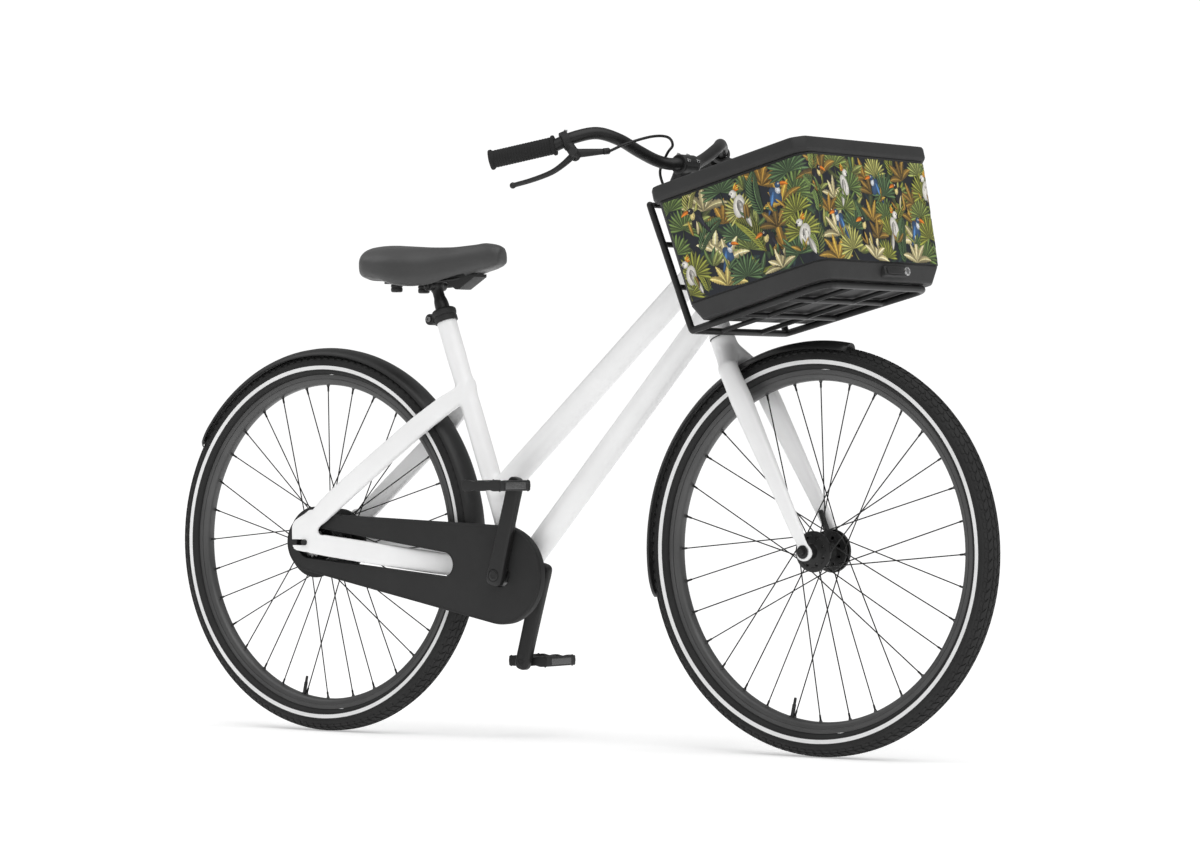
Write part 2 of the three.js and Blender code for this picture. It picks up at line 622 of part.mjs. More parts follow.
function fork() {
  const steerer = rod(onSteerer(-10), onSteerer(HEAD_TUBE_LENGTH + 12), STEERER_RADIUS, { sides: 16 });
  const neck = rod(onSteerer(-36), onSteerer(6.5), 23, { sides: 16 });
  const axleBore = rod(vec(FRONT_AXLE.x, -80, FRONT_AXLE.z), vec(FRONT_AXLE.x, 80, FRONT_AXLE.z), 4.6 + GAP);
  const wheelRoom = turned([[0, 0], [371, 0], [371, 57], [0, 57]], vec(0, -28.5, 0), vec(0, 1, 0), 40);
  wheelRoom.translate(FRONT_AXLE.x, 0, FRONT_AXLE.z);
  return cut(join(steerer, neck, ...forkSide(-1), ...forkSide(1)), axleBore, wheelRoom);
}
add('fork', fork(), FRAME_WHITE);

const stemClamp = vec(270, 0, 1042);
function stem() {
  const cap = rod(onSteerer(HEAD_TUBE_LENGTH + GAP), onSteerer(HEAD_TUBE_LENGTH + 12), 25, { sides: 16 });
  const post = rod(onSteerer(HEAD_TUBE_LENGTH + 6), onSteerer(303), 15, { sides: 14 });
  const body = rod(onSteerer(282), stemClamp, 17, { sides: 10 });
  const clamp = rod(vec(270, -22, 1042), vec(270, 22, 1042), 18, { sides: 14 });
  const steererClearance = rod(
    onSteerer(180), onSteerer(HEAD_TUBE_LENGTH + 12 + GAP), STEERER_RADIUS + GAP, { sides: 16 });
  const barClearance = rod(vec(270, -40, 1042), vec(270, 40, 1042), BAR_RADIUS + GAP + 0.4, { sides: 16 });
  return cut(join(cap, post, ball(17, onSteerer(296)), body, clamp), steererClearance, barClearance);
}

// Half of the handlebar's centre line, from the stem to the grip's inner end.
const barHalf = [
  vec(270, -27, 1042), vec(261, -41, 1042), vec(249, -64, 1048), vec(242, -105, 1062), vec(233, -150, 1080),
  vec(214, -188, 1090), vec(192, -224, 1082), vec(168, -247, 1068),
];
const gripOuter = vec(65, -300, 1043);

function handlebar() {
  const inner = barHalf[barHalf.length - 1];
  const gripAxis = gripOuter.clone().sub(inner).normalize();
  const insideGrip = [10, 60, 112].map((distance) => along(inner, gripAxis, distance));
  const right = [vec(270, -10, 1042), ...barHalf, ...insideGrip];
  return bentTube([...right.slice().reverse(), ...mirrored(right)], BAR_RADIUS, 46);
}
add('stem', stem(), SATIN_BLACK);
add('handlebar', handlebar(), SATIN_BLACK);

function grip(mirror) {
  const inner = barHalf[barHalf.length - 1];
  const axis = gripOuter.clone().sub(inner).normalize();
  const start = along(inner, axis, 1);
  const bore = BAR_RADIUS + 1;
  const outline = [
    [bore, 0], [18, 0], [18, 5], [GRIP_RADIUS, 7], [GRIP_RADIUS, 112], [18, 114], [18, 119], [0, 120],
    [0, 116], [bore, 116], [bore, 0],
  ];
  const shape = turned(outline, start, axis, 14);
  return mirror > 0 ? closed(shape.scale(1, -1, 1)) : shape;
}
add('right_grip', grip(-1), RUBBER_BLACK);
add('left_grip', grip(1), RUBBER_BLACK);

// Brake levers: a bracket clamped inboard of the grip, with a blade that swings towards the grip.
const LEVER_PIVOT = vec(207, -246, 1050);
const LEVER_AXIS = vec(-0.29, 0.841, -0.456).normalize();
const LEVER_SWING = THREE.MathUtils.degToRad(14);
const leverCable = vec(234, -202, 1056);

function leverBracket() {
  const clampCentre = vec(180.6, -236, 1075.6);
  const barAxis = vec(168, -247, 1068).sub(vec(192, -224, 1082)).normalize();
  const ring = rod(along(clampCentre, barAxis, -7), along(clampCentre, barAxis, 7), 17, { sides: 12 });
  const arm = rod(clampCentre, vec(203, -240, 1052), 9, { sides: 8 });
  const yoke = rod(vec(203, -240, 1052), along(leverCable, vec(0.53, 0.82, 0.1), 4), 8, { sides: 8, endRadius: 5 });
  const barrel = rod(leverCable, along(leverCable, vec(0.54, 0.83, 0.12).normalize(), 15), 6, { sides: 10 });
  const barClearance = rod(
    along(clampCentre, barAxis, -30), along(clampCentre, barAxis, 30), BAR_RADIUS + GAP + 1, { sides: 12 });
  const gripClearance = rod(vec(169, -247.5, 1068.2), vec(100, -283, 1050), 20, { sides: 10 });
  return cut(join(ring, arm, yoke, barrel), barClearance, gripClearance);
}

function leverBlade() {
  const knee = vec(176, -272, 1018);
  const tip = vec(118, -306, 996);
  const hub = rod(along(LEVER_PIVOT, LEVER_AXIS, -8), along(LEVER_PIVOT, LEVER_AXIS, 8), 7, { sides: 8 });
  const root = rod(LEVER_PIVOT, knee, 6.5, { sides: 8, endRadius: 5.5 });
  const blade = rod(knee, tip, 5.5, { sides: 8, endRadius: 4.5 });
  return join(hub, root, ball(5.5, knee), blade, ball(6, tip));
}

// Room for the lever's hub and for its root at both ends of the swing.
function leverRoom() {
  const hubRoom = rod(along(LEVER_PIVOT, LEVER_AXIS, -9), along(LEVER_PIVOT, LEVER_AXIS, 9), 8.2, { sides: 10 });
  const rootRoom = [0, LEVER_SWING / 2, LEVER_SWING].map((angle) => {
    const reach = vec(176, -272, 1018).sub(LEVER_PIVOT).applyAxisAngle(LEVER_AXIS, angle);
    return rod(LEVER_PIVOT, LEVER_PIVOT.clone().add(reach), 7.8, { sides: 8 });
  });
  return join(hubRoom, ...rootRoom);
}

const mirrorY = (geometry) => closed(geometry.clone().scale(1, -1, 1));
const rightBracket = cut(leverBracket(), leverRoom());
const rightLever = leverBlade();
add('right_lever_bracket', rightBracket, PLASTIC_BLACK);
add('left_lever_bracket', mirrorY(rightBracket), PLASTIC_BLACK);
add('right_lever', rightLever, PLASTIC_BLACK);
add('left_lever', mirrorY(rightLever), PLASTIC_BLACK);

// Brake cables: from each lever's adjuster over the bar and down behind the stem to the fork crown.
const cableStart = along(leverCable, vec(0.54, 0.83, 0.12).normalize(), 16.2);
const cablePoints = [
  cableStart, vec(262, -166, 1071), vec(283, -120, 1085), vec(287, -78, 1086), vec(276, -48, 1074),
];
const rightCable = bentTube([...cablePoints, vec(256, -37, 1060), vec(237, -32, 1027), vec(248, -23, 985),
  vec(259, -20.5, 958), vec(270.2, -20, 930.4)], 2.5, 22);
add('right_brake_cable', rightCable, RUBBER_BLACK);
add('left_brake_cable', mirrorY(rightCable), RUBBER_BLACK);

// ---------------------------------------------------------------- carrier
const carrierPoint = (distance, y, rise = 0) => vec(
  CARRIER_BACK.x + distance * Math.cos(CRATE_TILT) - rise * Math.sin(CRATE_TILT),
  y,
  CARRIER_BACK.z + distance * Math.sin(CRATE_TILT) + rise * Math.cos(CRATE_TILT));

function carrier() {
  const [rearHalf, frontHalf, length, corner] = [145, 168, 297, 26];
  const pieces = [jointedTube([
    carrierPoint(0, -rearHalf), carrierPoint(length - corner, -frontHalf), carrierPoint(length, corner - frontHalf),
    carrierPoint(length, frontHalf - corner), carrierPoint(length - corner, frontHalf), carrierPoint(0, rearHalf),
  ], CARRIER_TUBE, 6)];
  pieces.push(rod(carrierPoint(0, -rearHalf), carrierPoint(0, rearHalf), CARRIER_TUBE, { sides: 6 }));
  for (const [distance, half] of [[105, 153], [205, 161]]) {
    pieces.push(rod(carrierPoint(distance, -half, 0), carrierPoint(distance, half, 0), 5, { sides: 6 }));
  }
  for (const y of [-60, 60]) {
    pieces.push(rod(carrierPoint(0, y), carrierPoint(length, y), 4.5, { sides: 4 }));
  }
  for (const side of [-1, 1]) {
    const foot = carrierPoint(0, side * rearHalf);
    const top = vec(322, side * 158, 962);
    pieces.push(ball(CARRIER_TUBE, foot), rod(foot, top, CARRIER_TUBE, { sides: 6 }), ball(CARRIER_TUBE, top));
  }
  for (const share of [0.28, 0.66, 1]) {
    const centre = vec(387.6 - share * 65.6, 0, 742 + share * 220);
    const half = 145 + share * 13;
    pieces.push(rod(vec(centre.x, -half, centre.z), vec(centre.x, half, centre.z), 5, { sides: 6 }));
  }
  return cut(join(...pieces), headClearance);
}
add('carrier', carrier(), SATIN_BLACK);

// Brackets that hold the carrier's back frame to the head tube.
function carrierBracket(height, share) {
  const root = onSteerer(height);
  const rung = vec(387.6 - share * 65.6, 0, 742 + share * 220);
  const tip = along(rung, rung.clone().sub(root).normalize(), -5 - GAP);
  const arm = box(vec(tip.distanceTo(root), 40, 10), vec(0, 0, 0));
  arm.rotateY(-Math.atan2(tip.z - root.z, tip.x - root.x));
  arm.translate((tip.x + root.x) / 2, 0, (tip.z + root.z) / 2);
  return cut(arm, headClearance);
}
add('carrier_bracket_lower', carrierBracket(70, 0.28), SATIN_BLACK);
add('carrier_bracket_upper', carrierBracket(158, 0.66), SATIN_BLACK);

// ---------------------------------------------------------------- crate, tilted with the carrier
// Stations: height above the crate's floor, centre x, half length, half width.
const crateHull = [
  [8, -1, 134, 160],
  [34, -4, 141.5, 179],
  [212, -7, 150, 186],
];

function crateBody(stations, inset, chamfer = 22) {
  const outline = chamferedRectangle(1, 1, 0.12);
  const matrices = stations.map(([height, x, halfLength, halfWidth]) => {
    const matrix = new THREE.Matrix4();
    matrix.makeBasis(vec(halfLength - inset, 0, 0), vec(0, halfWidth - inset, 0), vec(0, 0, 1));
    return matrix.setPosition(x, 0, height);
  });
  return sweep(outline, matrices);
}

const raised = (stations, amount) => stations.map(([height, ...rest]) => [height + amount, ...rest]);
const crateGroup = new THREE.Group();
crateGroup.position.copy(CRATE_BASE);
crateGroup.rotation.y = -CRATE_TILT;
group.add(crateGroup);

function crateShell() {
  const inner = [[12, -1, 134, 160], [34, -4, 141.5, 179], [213, -7, 150, 186], [230, -8, 151, 187]];
  return cut(crateBody(crateHull, 0), crateBody(inner, 3));
}

function cratePrint() {
  const band = [[38, -4, 141.7, 179.2], [208, -7, 149.8, 185.9]];
  const tool = [[30, -3.9, 141.3, 178.9], [216, -7.1, 150.2, 186.2]];
  return cut(crateBody(band, -1.5), crateBody(tool, -GAP));
}

function crateRim() {
  const outer = [[213, -7, 156, 192], [222, -8, 160, 197], [CRATE_HEIGHT - 4, -8, 160, 197], [CRATE_HEIGHT, -8, 157, 194]];
  const inner = [[200, -7, 143, 179], [CRATE_HEIGHT + 10, -8, 143, 180]];
  return cut(crateBody(outer, 0), crateBody(inner, 0), crateBody(raised(crateHull, 0.6), 0));
}

function crateLock() {
  const housing = box(vec(14, 44, 20), vec(140, 20, 22));
  const barrel = rod(vec(140, 34, 22), vec(152, 34, 22), 8, { sides: 12 });
  return cut(join(housing, barrel), crateBody(crateHull, -GAP));
}

for (const [name, geometry, finish] of [
  ['crate_shell', crateShell(), PLASTIC_BLACK],
  ['crate_print', cratePrint(), PRINT_NAVY],
  ['crate_rim', crateRim(), PLASTIC_BLACK],
  ['crate_lock', crateLock(), STEEL],
]) {
  crateGroup.add(add(name, geometry, finish));
}

export default group;
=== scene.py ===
"""Looks of a step-through city bicycle with a carrier crate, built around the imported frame.

Lengths in this script are millimetres until mm() turns them into metres.
+X is forward, +Y is the rider's left and +Z is up.
"""

import json
import math
import random

import bmesh
import bpy
import numpy as np
from mathutils import Matrix, Vector

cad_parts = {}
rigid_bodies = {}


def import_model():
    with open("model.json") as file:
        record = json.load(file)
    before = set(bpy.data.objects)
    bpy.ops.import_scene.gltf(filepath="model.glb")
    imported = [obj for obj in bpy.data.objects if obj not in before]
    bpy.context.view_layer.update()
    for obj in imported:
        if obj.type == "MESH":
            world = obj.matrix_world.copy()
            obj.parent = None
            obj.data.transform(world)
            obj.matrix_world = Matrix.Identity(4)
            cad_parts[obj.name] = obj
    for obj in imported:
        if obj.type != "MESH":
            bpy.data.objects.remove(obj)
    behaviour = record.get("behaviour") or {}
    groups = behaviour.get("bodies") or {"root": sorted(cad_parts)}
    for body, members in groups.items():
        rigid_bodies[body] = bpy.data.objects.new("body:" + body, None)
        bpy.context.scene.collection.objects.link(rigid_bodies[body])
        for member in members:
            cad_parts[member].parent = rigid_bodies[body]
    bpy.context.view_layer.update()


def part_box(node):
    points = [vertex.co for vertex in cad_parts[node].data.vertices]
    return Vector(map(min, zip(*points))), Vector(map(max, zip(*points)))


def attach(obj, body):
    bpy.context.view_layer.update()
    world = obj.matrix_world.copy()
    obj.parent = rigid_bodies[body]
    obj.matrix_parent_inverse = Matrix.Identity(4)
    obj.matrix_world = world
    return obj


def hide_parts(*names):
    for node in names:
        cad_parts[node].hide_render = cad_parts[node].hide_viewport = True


for leftover in list(bpy.data.objects):
    bpy.data.objects.remove(leftover)

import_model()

MM = 0.001
UP = Vector((0, 0, 1))
LEFT = Vector((0, 1, 0))


# ---------------------------------------------------------------- camera
CAMERA_PLACE = Vector((4.7094, -6.2178, 0.5645))
CAMERA_BACK = Vector((0.59720, -0.80209, -0.00192))
camera = bpy.data.objects.new("camera", bpy.data.cameras.new("camera"))
camera.data.sensor_width = 36
camera.data.lens = 128.64
camera.data.clip_end = 100
camera.location = CAMERA_PLACE
camera.rotation_mode = "QUATERNION"
camera.rotation_quaternion = (-CAMERA_BACK).to_track_quat("-Z", "Y")
bpy.context.scene.collection.objects.link(camera)
bpy.context.scene.camera = camera


# ---------------------------------------------------------------- places, from the frame
def mm(x, y, z):
    return Vector((x, y, z)) * MM


def centre(node):
    low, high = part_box(node)
    return (low + high) / 2


FRONT_AXLE = centre("front_rim")
REAR_AXLE = centre("rear_rim")
BB = centre("bottom_bracket")
HEAD_ANGLE = math.radians(68)
SEAT_ANGLE = math.radians(69.8)
STEER_AXIS = Vector((-math.cos(HEAD_ANGLE), 0, math.sin(HEAD_ANGLE)))
SEAT_AXIS = Vector((-math.cos(SEAT_ANGLE), 0, math.sin(SEAT_ANGLE)))
LOWER_RACE = mm(352, 0, 728)


def on_steerer(distance):
    return LOWER_RACE + STEER_AXIS * (distance * MM)


def on_seat_tube(distance):
    return BB + SEAT_AXIS * (distance * MM)


# ---------------------------------------------------------------- mesh helpers
def link(name, mesh):
    obj = bpy.data.objects.new(name, mesh)
    bpy.context.scene.collection.objects.link(obj)
    return obj


def shade(obj, angle=38):
    obj.data.shade_smooth()
    obj.data.set_sharp_from_angle(angle=math.radians(angle))
    return obj


def clean(obj, merge=1e-6):
    """Merges doubled points, drops faces without area and turns the faces outward."""
    bm = bmesh.new()
    bm.from_mesh(obj.data)
    bmesh.ops.remove_doubles(bm, verts=bm.verts, dist=merge)
    bmesh.ops.dissolve_degenerate(bm, edges=bm.edges, dist=merge)
    bmesh.ops.recalc_face_normals(bm, faces=bm.faces)
    bm.to_mesh(obj.data)
    bm.free()
    return obj


def mesh_object(name, points, faces, angle=38):
    mesh = bpy.data.meshes.new(name)
    mesh.from_pydata([tuple(p) for p in points], [], faces)
    return shade(clean(link(name, mesh)), angle)


def loft(name, rings, ring_shaped=False, angle=38):
    """Joins closed rings of points into one body: capped, or closed on itself when ring shaped."""
    count = len(rings[0])
    points = [p for ring in rings for p in ring]
    faces = []
    for r in range(len(rings) if ring_shaped else len(rings) - 1):
        a, b = r * count, ((r + 1) % len(rings)) * count
        for i in range(count):
            j = (i + 1) % count
            faces.append((a + i, a + j, b + j, b + i))
    if not ring_shaped:
        faces.append(tuple(reversed(range(count))))
        faces.append(tuple(range(len(points) - count, len(points))))
    return mesh_object(name, points, faces, angle)


def lathe(name, outline, origin, axis, segments=64, angle=38):
    """Revolves a closed (radius, height) outline about an axis."""
    axis = axis.normalized()
    side = axis.orthogonal().normalized()
    other = axis.cross(side)
    rings = []
    for k in range(segments):
        turn = 2 * math.pi * k / segments
        radial = side * math.cos(turn) + other * math.sin(turn)
        rings.append([origin + radial * (r * MM) + axis * (h * MM) for r, h in outline])
    return loft(name, rings, ring_shaped=True, angle=angle)


def smooth_path(points, steps=8):
    """A Catmull-Rom curve through the points."""
    ends = [2 * points[0] - points[1], *points, 2 * points[-1] - points[-2]]
    path = []
    for a, b, c, d in zip(ends, ends[1:], ends[2:], ends[3:]):
        for s in range(steps):
            t = s / steps
            path.append(
                0.5 * (2 * b + (c - a) * t + (2 * a - 5 * b + 4 * c - d) * t**2
                       + (3 * b - a - 3 * c + d) * t**3)
            )
    return path + [points[-1].copy()]


def frames_along(path, up=UP):
    """A (side, up) pair at each point of a path, turning as little as the path allows."""
    tangents = []
    for i in range(len(path)):
        ahead, behind = path[min(i + 1, len(path) - 1)], path[max(i - 1, 0)]
        tangents.append((ahead - behind).normalized())
    side = tangents[0].cross(up)
    if side.length < 1e-3:
        side = tangents[0].cross(Vector((1, 0, 0)))
    side.normalize()
    pairs = []
    for before, now in zip([tangents[0], *tangents], tangents):
        side = before.rotation_difference(now) @ side
        pairs.append((side.copy(), side.cross(now).normalized()))
    return pairs


def ellipse(count, power=2.0):
    """Points round a unit superellipse: power 2 is a circle and 5 a soft-cornered square."""
    points = []
    for k in range(count):
        turn = 2 * math.pi * (k + 0.5) / count
        c, s = math.cos(turn), math.sin(turn)
        points.append((math.copysign(abs(c) ** (2 / power), c), math.copysign(abs(s) ** (2 / power), s)))
    return points


def spread(values, count):
    """The values, stretched evenly to a list of that many."""
    out = []
    for i in range(count):
        at = i * (len(values) - 1) / (count - 1)
        low = min(int(at), len(values) - 2)
        out.append(values[low] + (values[low + 1] - values[low]) * (at - low))
    return out


def tube(name, points, radius, sides=16, steps=8, angle=38):
    """A round tube through the points; radius is a number or a list along the tube."""
    path = smooth_path(points, steps) if steps > 1 else list(points)
    radii = spread(radius, len(path)) if isinstance(radius, (list, tuple)) else [radius] * len(path)
    section = ellipse(sides)
    rings = []
    for p, (side, up), r in zip(path, frames_along(path), radii):
        rings.append([p + side * (c * r * MM) + up * (s * r * MM) for c, s in section])
    return loft(name, rings, angle=angle)


def rod(name, start, end, radius, end_radius=None, sides=32, edge=0.6):
    """A straight round bar with eased edges."""
    end_radius = radius if end_radius is None else end_radius
    length = (end - start).length / MM
    outline = [(0, 0), (radius - edge, 0), (radius, edge)]
    outline += [(end_radius, length - edge), (end_radius - edge, length), (0, length)]
    return lathe(name, outline, start, end - start, sides)


def ball(name, at, radius, flat=1.0, axis=UP, segments=20):
    outline = []
    for k in range(11):
        turn = math.pi * k / 10
        outline.append((radius * math.sin(turn), -radius * flat * math.cos(turn)))
    return lathe(name, outline, at, axis, segments)


def arc(cx, cz, radius, start, end, count):
    """(x, z) points along an arc, its angles in radians."""
    turns = [start + (end - start) * k / (count - 1) for k in range(count)]
    return [(cx + radius * math.cos(t), cz + radius * math.sin(t)) for t in turns]


def belt(front, front_radius, rear, rear_radius, count=40):
    """The outline of a belt round two circles, as (x, z) points in millimetres."""
    fx, fz, rx, rz = front[0] / MM, front[2] / MM, rear[0] / MM, rear[2] / MM
    heading = math.atan2(rz - fz, rx - fx)
    lean = math.acos((front_radius - rear_radius) / math.hypot(rx - fx, rz - fz))
    first = arc(fx, fz, front_radius, heading + lean, heading - lean + 2 * math.pi, count)
    return first + arc(rx, rz, rear_radius, heading - lean, heading + lean, count)


def plate(name, outer, holes, y_from, y_to, bevel=0.8, rounds=3):
    """A flat plate between two values of y, with eased edges, from outlines in the X-Z plane."""
    curve = bpy.data.curves.new(name, "CURVE")
    curve.dimensions = "2D"
    curve.fill_mode = "BOTH"
    for loop in [outer, *holes]:
        spline = curve.splines.new("POLY")
        spline.points.add(len(loop) - 1)
        for point, (x, z) in zip(spline.points, loop):
            point.co = (x * MM, z * MM, 0, 1)
        spline.use_cyclic_u = True
    curve.extrude = ((y_to - y_from) / 2 - bevel) * MM
    curve.bevel_depth = bevel * MM
    curve.bevel_resolution = rounds
    curve.offset = -bevel * MM
    outline = bpy.data.objects.new(name, curve)
    bpy.context.scene.collection.objects.link(outline)
    bpy.context.view_layer.update()
    mesh = bpy.data.meshes.new_from_object(outline)
    bpy.data.objects.remove(outline)
    obj = link(name, mesh)
    middle = (y_from + y_to) / 2 * MM
    for v in mesh.vertices:
        x, z, depth = v.co
        v.co = (x, middle - depth, z)
    return shade(clean(obj, 1e-5))


def bake(obj):
    """Applies an object's modifiers to its mesh."""
    bpy.context.view_layer.update()
    mesh = bpy.data.meshes.new_from_object(obj.evaluated_get(bpy.context.evaluated_depsgraph_get()))
    obj.modifiers.clear()
    obj.data = mesh
    return obj


def combine(obj, tool, operation, solver="MANIFOLD"):
    modifier = obj.modifiers.new(operation.lower(), "BOOLEAN")
    modifier.operation = operation
    modifier.solver = solver
    modifier.object = tool
    bake(obj)
    bpy.data.objects.remove(tool)
    return obj


def cut(obj, *tools):
    for tool in tools:
        combine(obj, tool, "DIFFERENCE")
    return shade(obj)


def joined(name, parts):
    """One object holding the meshes of several."""
    bm = bmesh.new()
    for part in parts:
        bm.from_mesh(part.data)
        bpy.data.objects.remove(part)
    mesh = bpy.data.meshes.new(name)
    bm.to_mesh(mesh)
    bm.free()
    return link(name, mesh)


def relax(obj, passes, weights=None, keep_volume=True):
    """Evens out a mesh. With keep_volume it takes away ripples and leaves the thickness."""
    mesh = obj.data
    co = np.zeros(len(mesh.vertices) * 3)
    mesh.vertices.foreach_get("co", co)
    co = co.reshape(-1, 3)
    edges = np.zeros(len(mesh.edges) * 2, int)
    mesh.edges.foreach_get("vertices", edges)
    a, b = edges.reshape(-1, 2).T
    degree = np.bincount(a, minlength=len(co)) + np.bincount(b, minlength=len(co))
    share = np.ones(len(co)) if weights is None else weights
    for step in range(passes):
        total = np.stack(
            [np.bincount(a, co[b, k], len(co)) + np.bincount(b, co[a, k], len(co)) for k in range(3)], 1)
        pull = -0.52 if keep_volume and step % 2 else 0.5
        co += (total / degree[:, None] - co) * (pull * share)[:, None]
    mesh.vertices.foreach_set("co", co.ravel())
    mesh.update()
    return obj


def weld(name, parts, voxel, joints, fillet_passes, even_passes=10):
    """Melts overlapping bodies into one skin and rounds the corners near the (place, reach) joints."""
    body = joined(name, parts)
    modifier = body.modifiers.new("skin", "REMESH")
    modifier.mode = "VOXEL"
    modifier.voxel_size = voxel * MM
    bake(body)
    co = np.array([v.co for v in body.data.vertices])
    share = np.zeros(len(co))
    for place, reach in joints:
        near = 1 - np.linalg.norm(co - np.array(place), axis=1) / (reach * MM)
        share = np.maximum(share, np.clip(near * 2, 0, 1))
    relax(body, fillet_passes, share, keep_volume=False)
    relax(body, even_passes)
    return body


# ---------------------------------------------------------------- materials
GRAIN_DEPTH = 0.0002


def nodes_of(name):
    material = bpy.data.materials.new(name)
    material.use_nodes = True
    tree = material.node_tree
    return material, tree, tree.nodes["Principled BSDF"]


def add_node(tree, kind, **values):
    """A shader node with its sockets set by number or name."""
    node = tree.nodes.new(kind)
    for key, value in values.items():
        if hasattr(node, key):
            setattr(node, key, value)
        else:
            node.inputs[key.replace("_", " ")].default_value = value
    return node


def wire(tree, source, socket, target, name):
    """Links a node's output to another's input, each by number or name."""
    tree.links.new(source.outputs[socket], target.inputs[name])


def vector_step(tree, operation, source, socket, value=None):
    """A vector-math node fed by another node's output."""
    node = add_node(tree, "ShaderNodeVectorMath", operation=operation)
    if value is not None:
        node.inputs[1].default_value = value
    wire(tree, source, socket, node, 0)
    return node


def bump_of(tree, source, socket, strength, distance=GRAIN_DEPTH):
    """A bump node that reads its height from another node's output."""
    relief = add_node(tree, "ShaderNodeBump", Strength=strength, Distance=distance)
    wire(tree, source, socket, relief, "Height")
    return relief


def tone(value):
    """A linear grey or colour from 0-255 display values."""
    channels = value if isinstance(value, tuple) else (value, value, value)
    out = [((c / 255 + 0.055) / 1.055) ** 2.4 if c > 10 else c / 255 / 12.92 for c in channels]
    return (*out, 1)


def finish_material(name, dark, light, roughness, metallic=0.0, grain=900, bump=0.12, patches=9,
                    coat=0.0, cells=False, swing=0.07, sheen=0.0, depth=GRAIN_DEPTH, mirror=0.5):
    """A surface with uneven tone, uneven gloss and a fine grain, none of it repeating."""
    material, tree, shader = nodes_of(name)
    place = add_node(tree, "ShaderNodeTexCoord")
    mapping = add_node(tree, "ShaderNodeMapping")
    wire(tree, place, "Object", mapping, "Vector")
    broad = add_node(tree, "ShaderNodeTexNoise", Scale=patches, Detail=6.0, Roughness=0.6)
    wire(tree, mapping, 0, broad, "Vector")
    ramp = add_node(tree, "ShaderNodeValToRGB")
    for stop, position, grey in zip(ramp.color_ramp.elements, (0.3, 0.7), (dark, light)):
        stop.position = position
        stop.color = tone(grey)
    wire(tree, broad, "Fac", ramp, "Fac")
    wire(tree, ramp, "Color", shader, "Base Color")
    gloss = add_node(tree, "ShaderNodeTexNoise", Scale=patches * 7, Detail=4.0)
    wire(tree, mapping, 0, gloss, "Vector")
    span = add_node(tree, "ShaderNodeMapRange")
    span.inputs["To Min"].default_value = roughness - swing
    span.inputs["To Max"].default_value = roughness + swing
    wire(tree, gloss, "Fac", span, "Value")
    wire(tree, span, 0, shader, "Roughness")
    if cells:
        fine = add_node(tree, "ShaderNodeTexVoronoi", Scale=grain)
        fine.feature = "DISTANCE_TO_EDGE"
    else:
        fine = add_node(tree, "ShaderNodeTexNoise", Scale=grain, Detail=3.0)
    wire(tree, mapping, 0, fine, "Vector")
    relief = bump_of(tree, fine, "Distance" if cells else "Fac", bump, depth)
    wire(tree, relief, "Normal", shader, "Normal")
    shader.inputs["Metallic"].default_value = metallic
    shader.inputs["Specular IOR Level"].default_value = mirror
    shader.inputs["Coat Weight"].default_value = coat
    shader.inputs["Coat Roughness"].default_value = 0.12
    shader.inputs["Sheen Weight"].default_value = sheen
    return material


def ringed_material(name, dark, light, roughness, metallic, pitch, bump, hub):
    """A turned surface: fine rings about an axle that runs along Y, over uneven tone."""
    material = finish_material(name, dark, light, roughness, metallic, grain=700, bump=bump)
    tree = material.node_tree
    place = add_node(tree, "ShaderNodeTexCoord")
    shift = vector_step(tree, "SUBTRACT", place, "Object", hub)
    flat = vector_step(tree, "MULTIPLY", shift, 0, (1, 0, 1))
    far = vector_step(tree, "LENGTH", flat, 0)
    wave = add_node(tree, "ShaderNodeMath", operation="MULTIPLY")
    wave.inputs[1].default_value = 2 * math.pi / (pitch * MM)
    wire(tree, far, "Value", wave, 0)
    ridge = add_node(tree, "ShaderNodeMath", operation="SINE")
    wire(tree, wave, 0, ridge, 0)
    relief = bump_of(tree, ridge, 0, bump)
    grain_relief = next(n for n in tree.nodes if n.type == "BUMP" and n != relief)
    wire(tree, grain_relief, "Normal", relief, "Normal")
    wire(tree, relief, "Normal", tree.nodes["Principled BSDF"], "Normal")
    return material


def printed_material(name):
    """Ink on a smooth panel: the colour painted on the points, mottled like a pigment print."""
    material, tree, shader = nodes_of(name)
    ink = add_node(tree, "ShaderNodeAttribute")
    ink.attribute_name = "ink"
    place = add_node(tree, "ShaderNodeTexCoord")
    mottle = add_node(tree, "ShaderNodeTexNoise", Scale=190.0, Detail=6.0, Roughness=0.7)
    wire(tree, place, "Object", mottle, "Vector")
    span = add_node(tree, "ShaderNodeMapRange")
    for end, value in (("From Min", 0.3), ("From Max", 0.7), ("To Min", 0.8), ("To Max", 1.2)):
        span.inputs[end].default_value = value
    wire(tree, mottle, "Fac", span, "Value")
    mix = vector_step(tree, "MULTIPLY", ink, "Color")
    wire(tree, span, 0, mix, 1)
    wire(tree, mix, 0, shader, "Base Color")
    wire(tree, bump_of(tree, mottle, "Fac", 0.08), "Normal", shader, "Normal")
    shader.inputs["Roughness"].default_value = 0.55
    return material


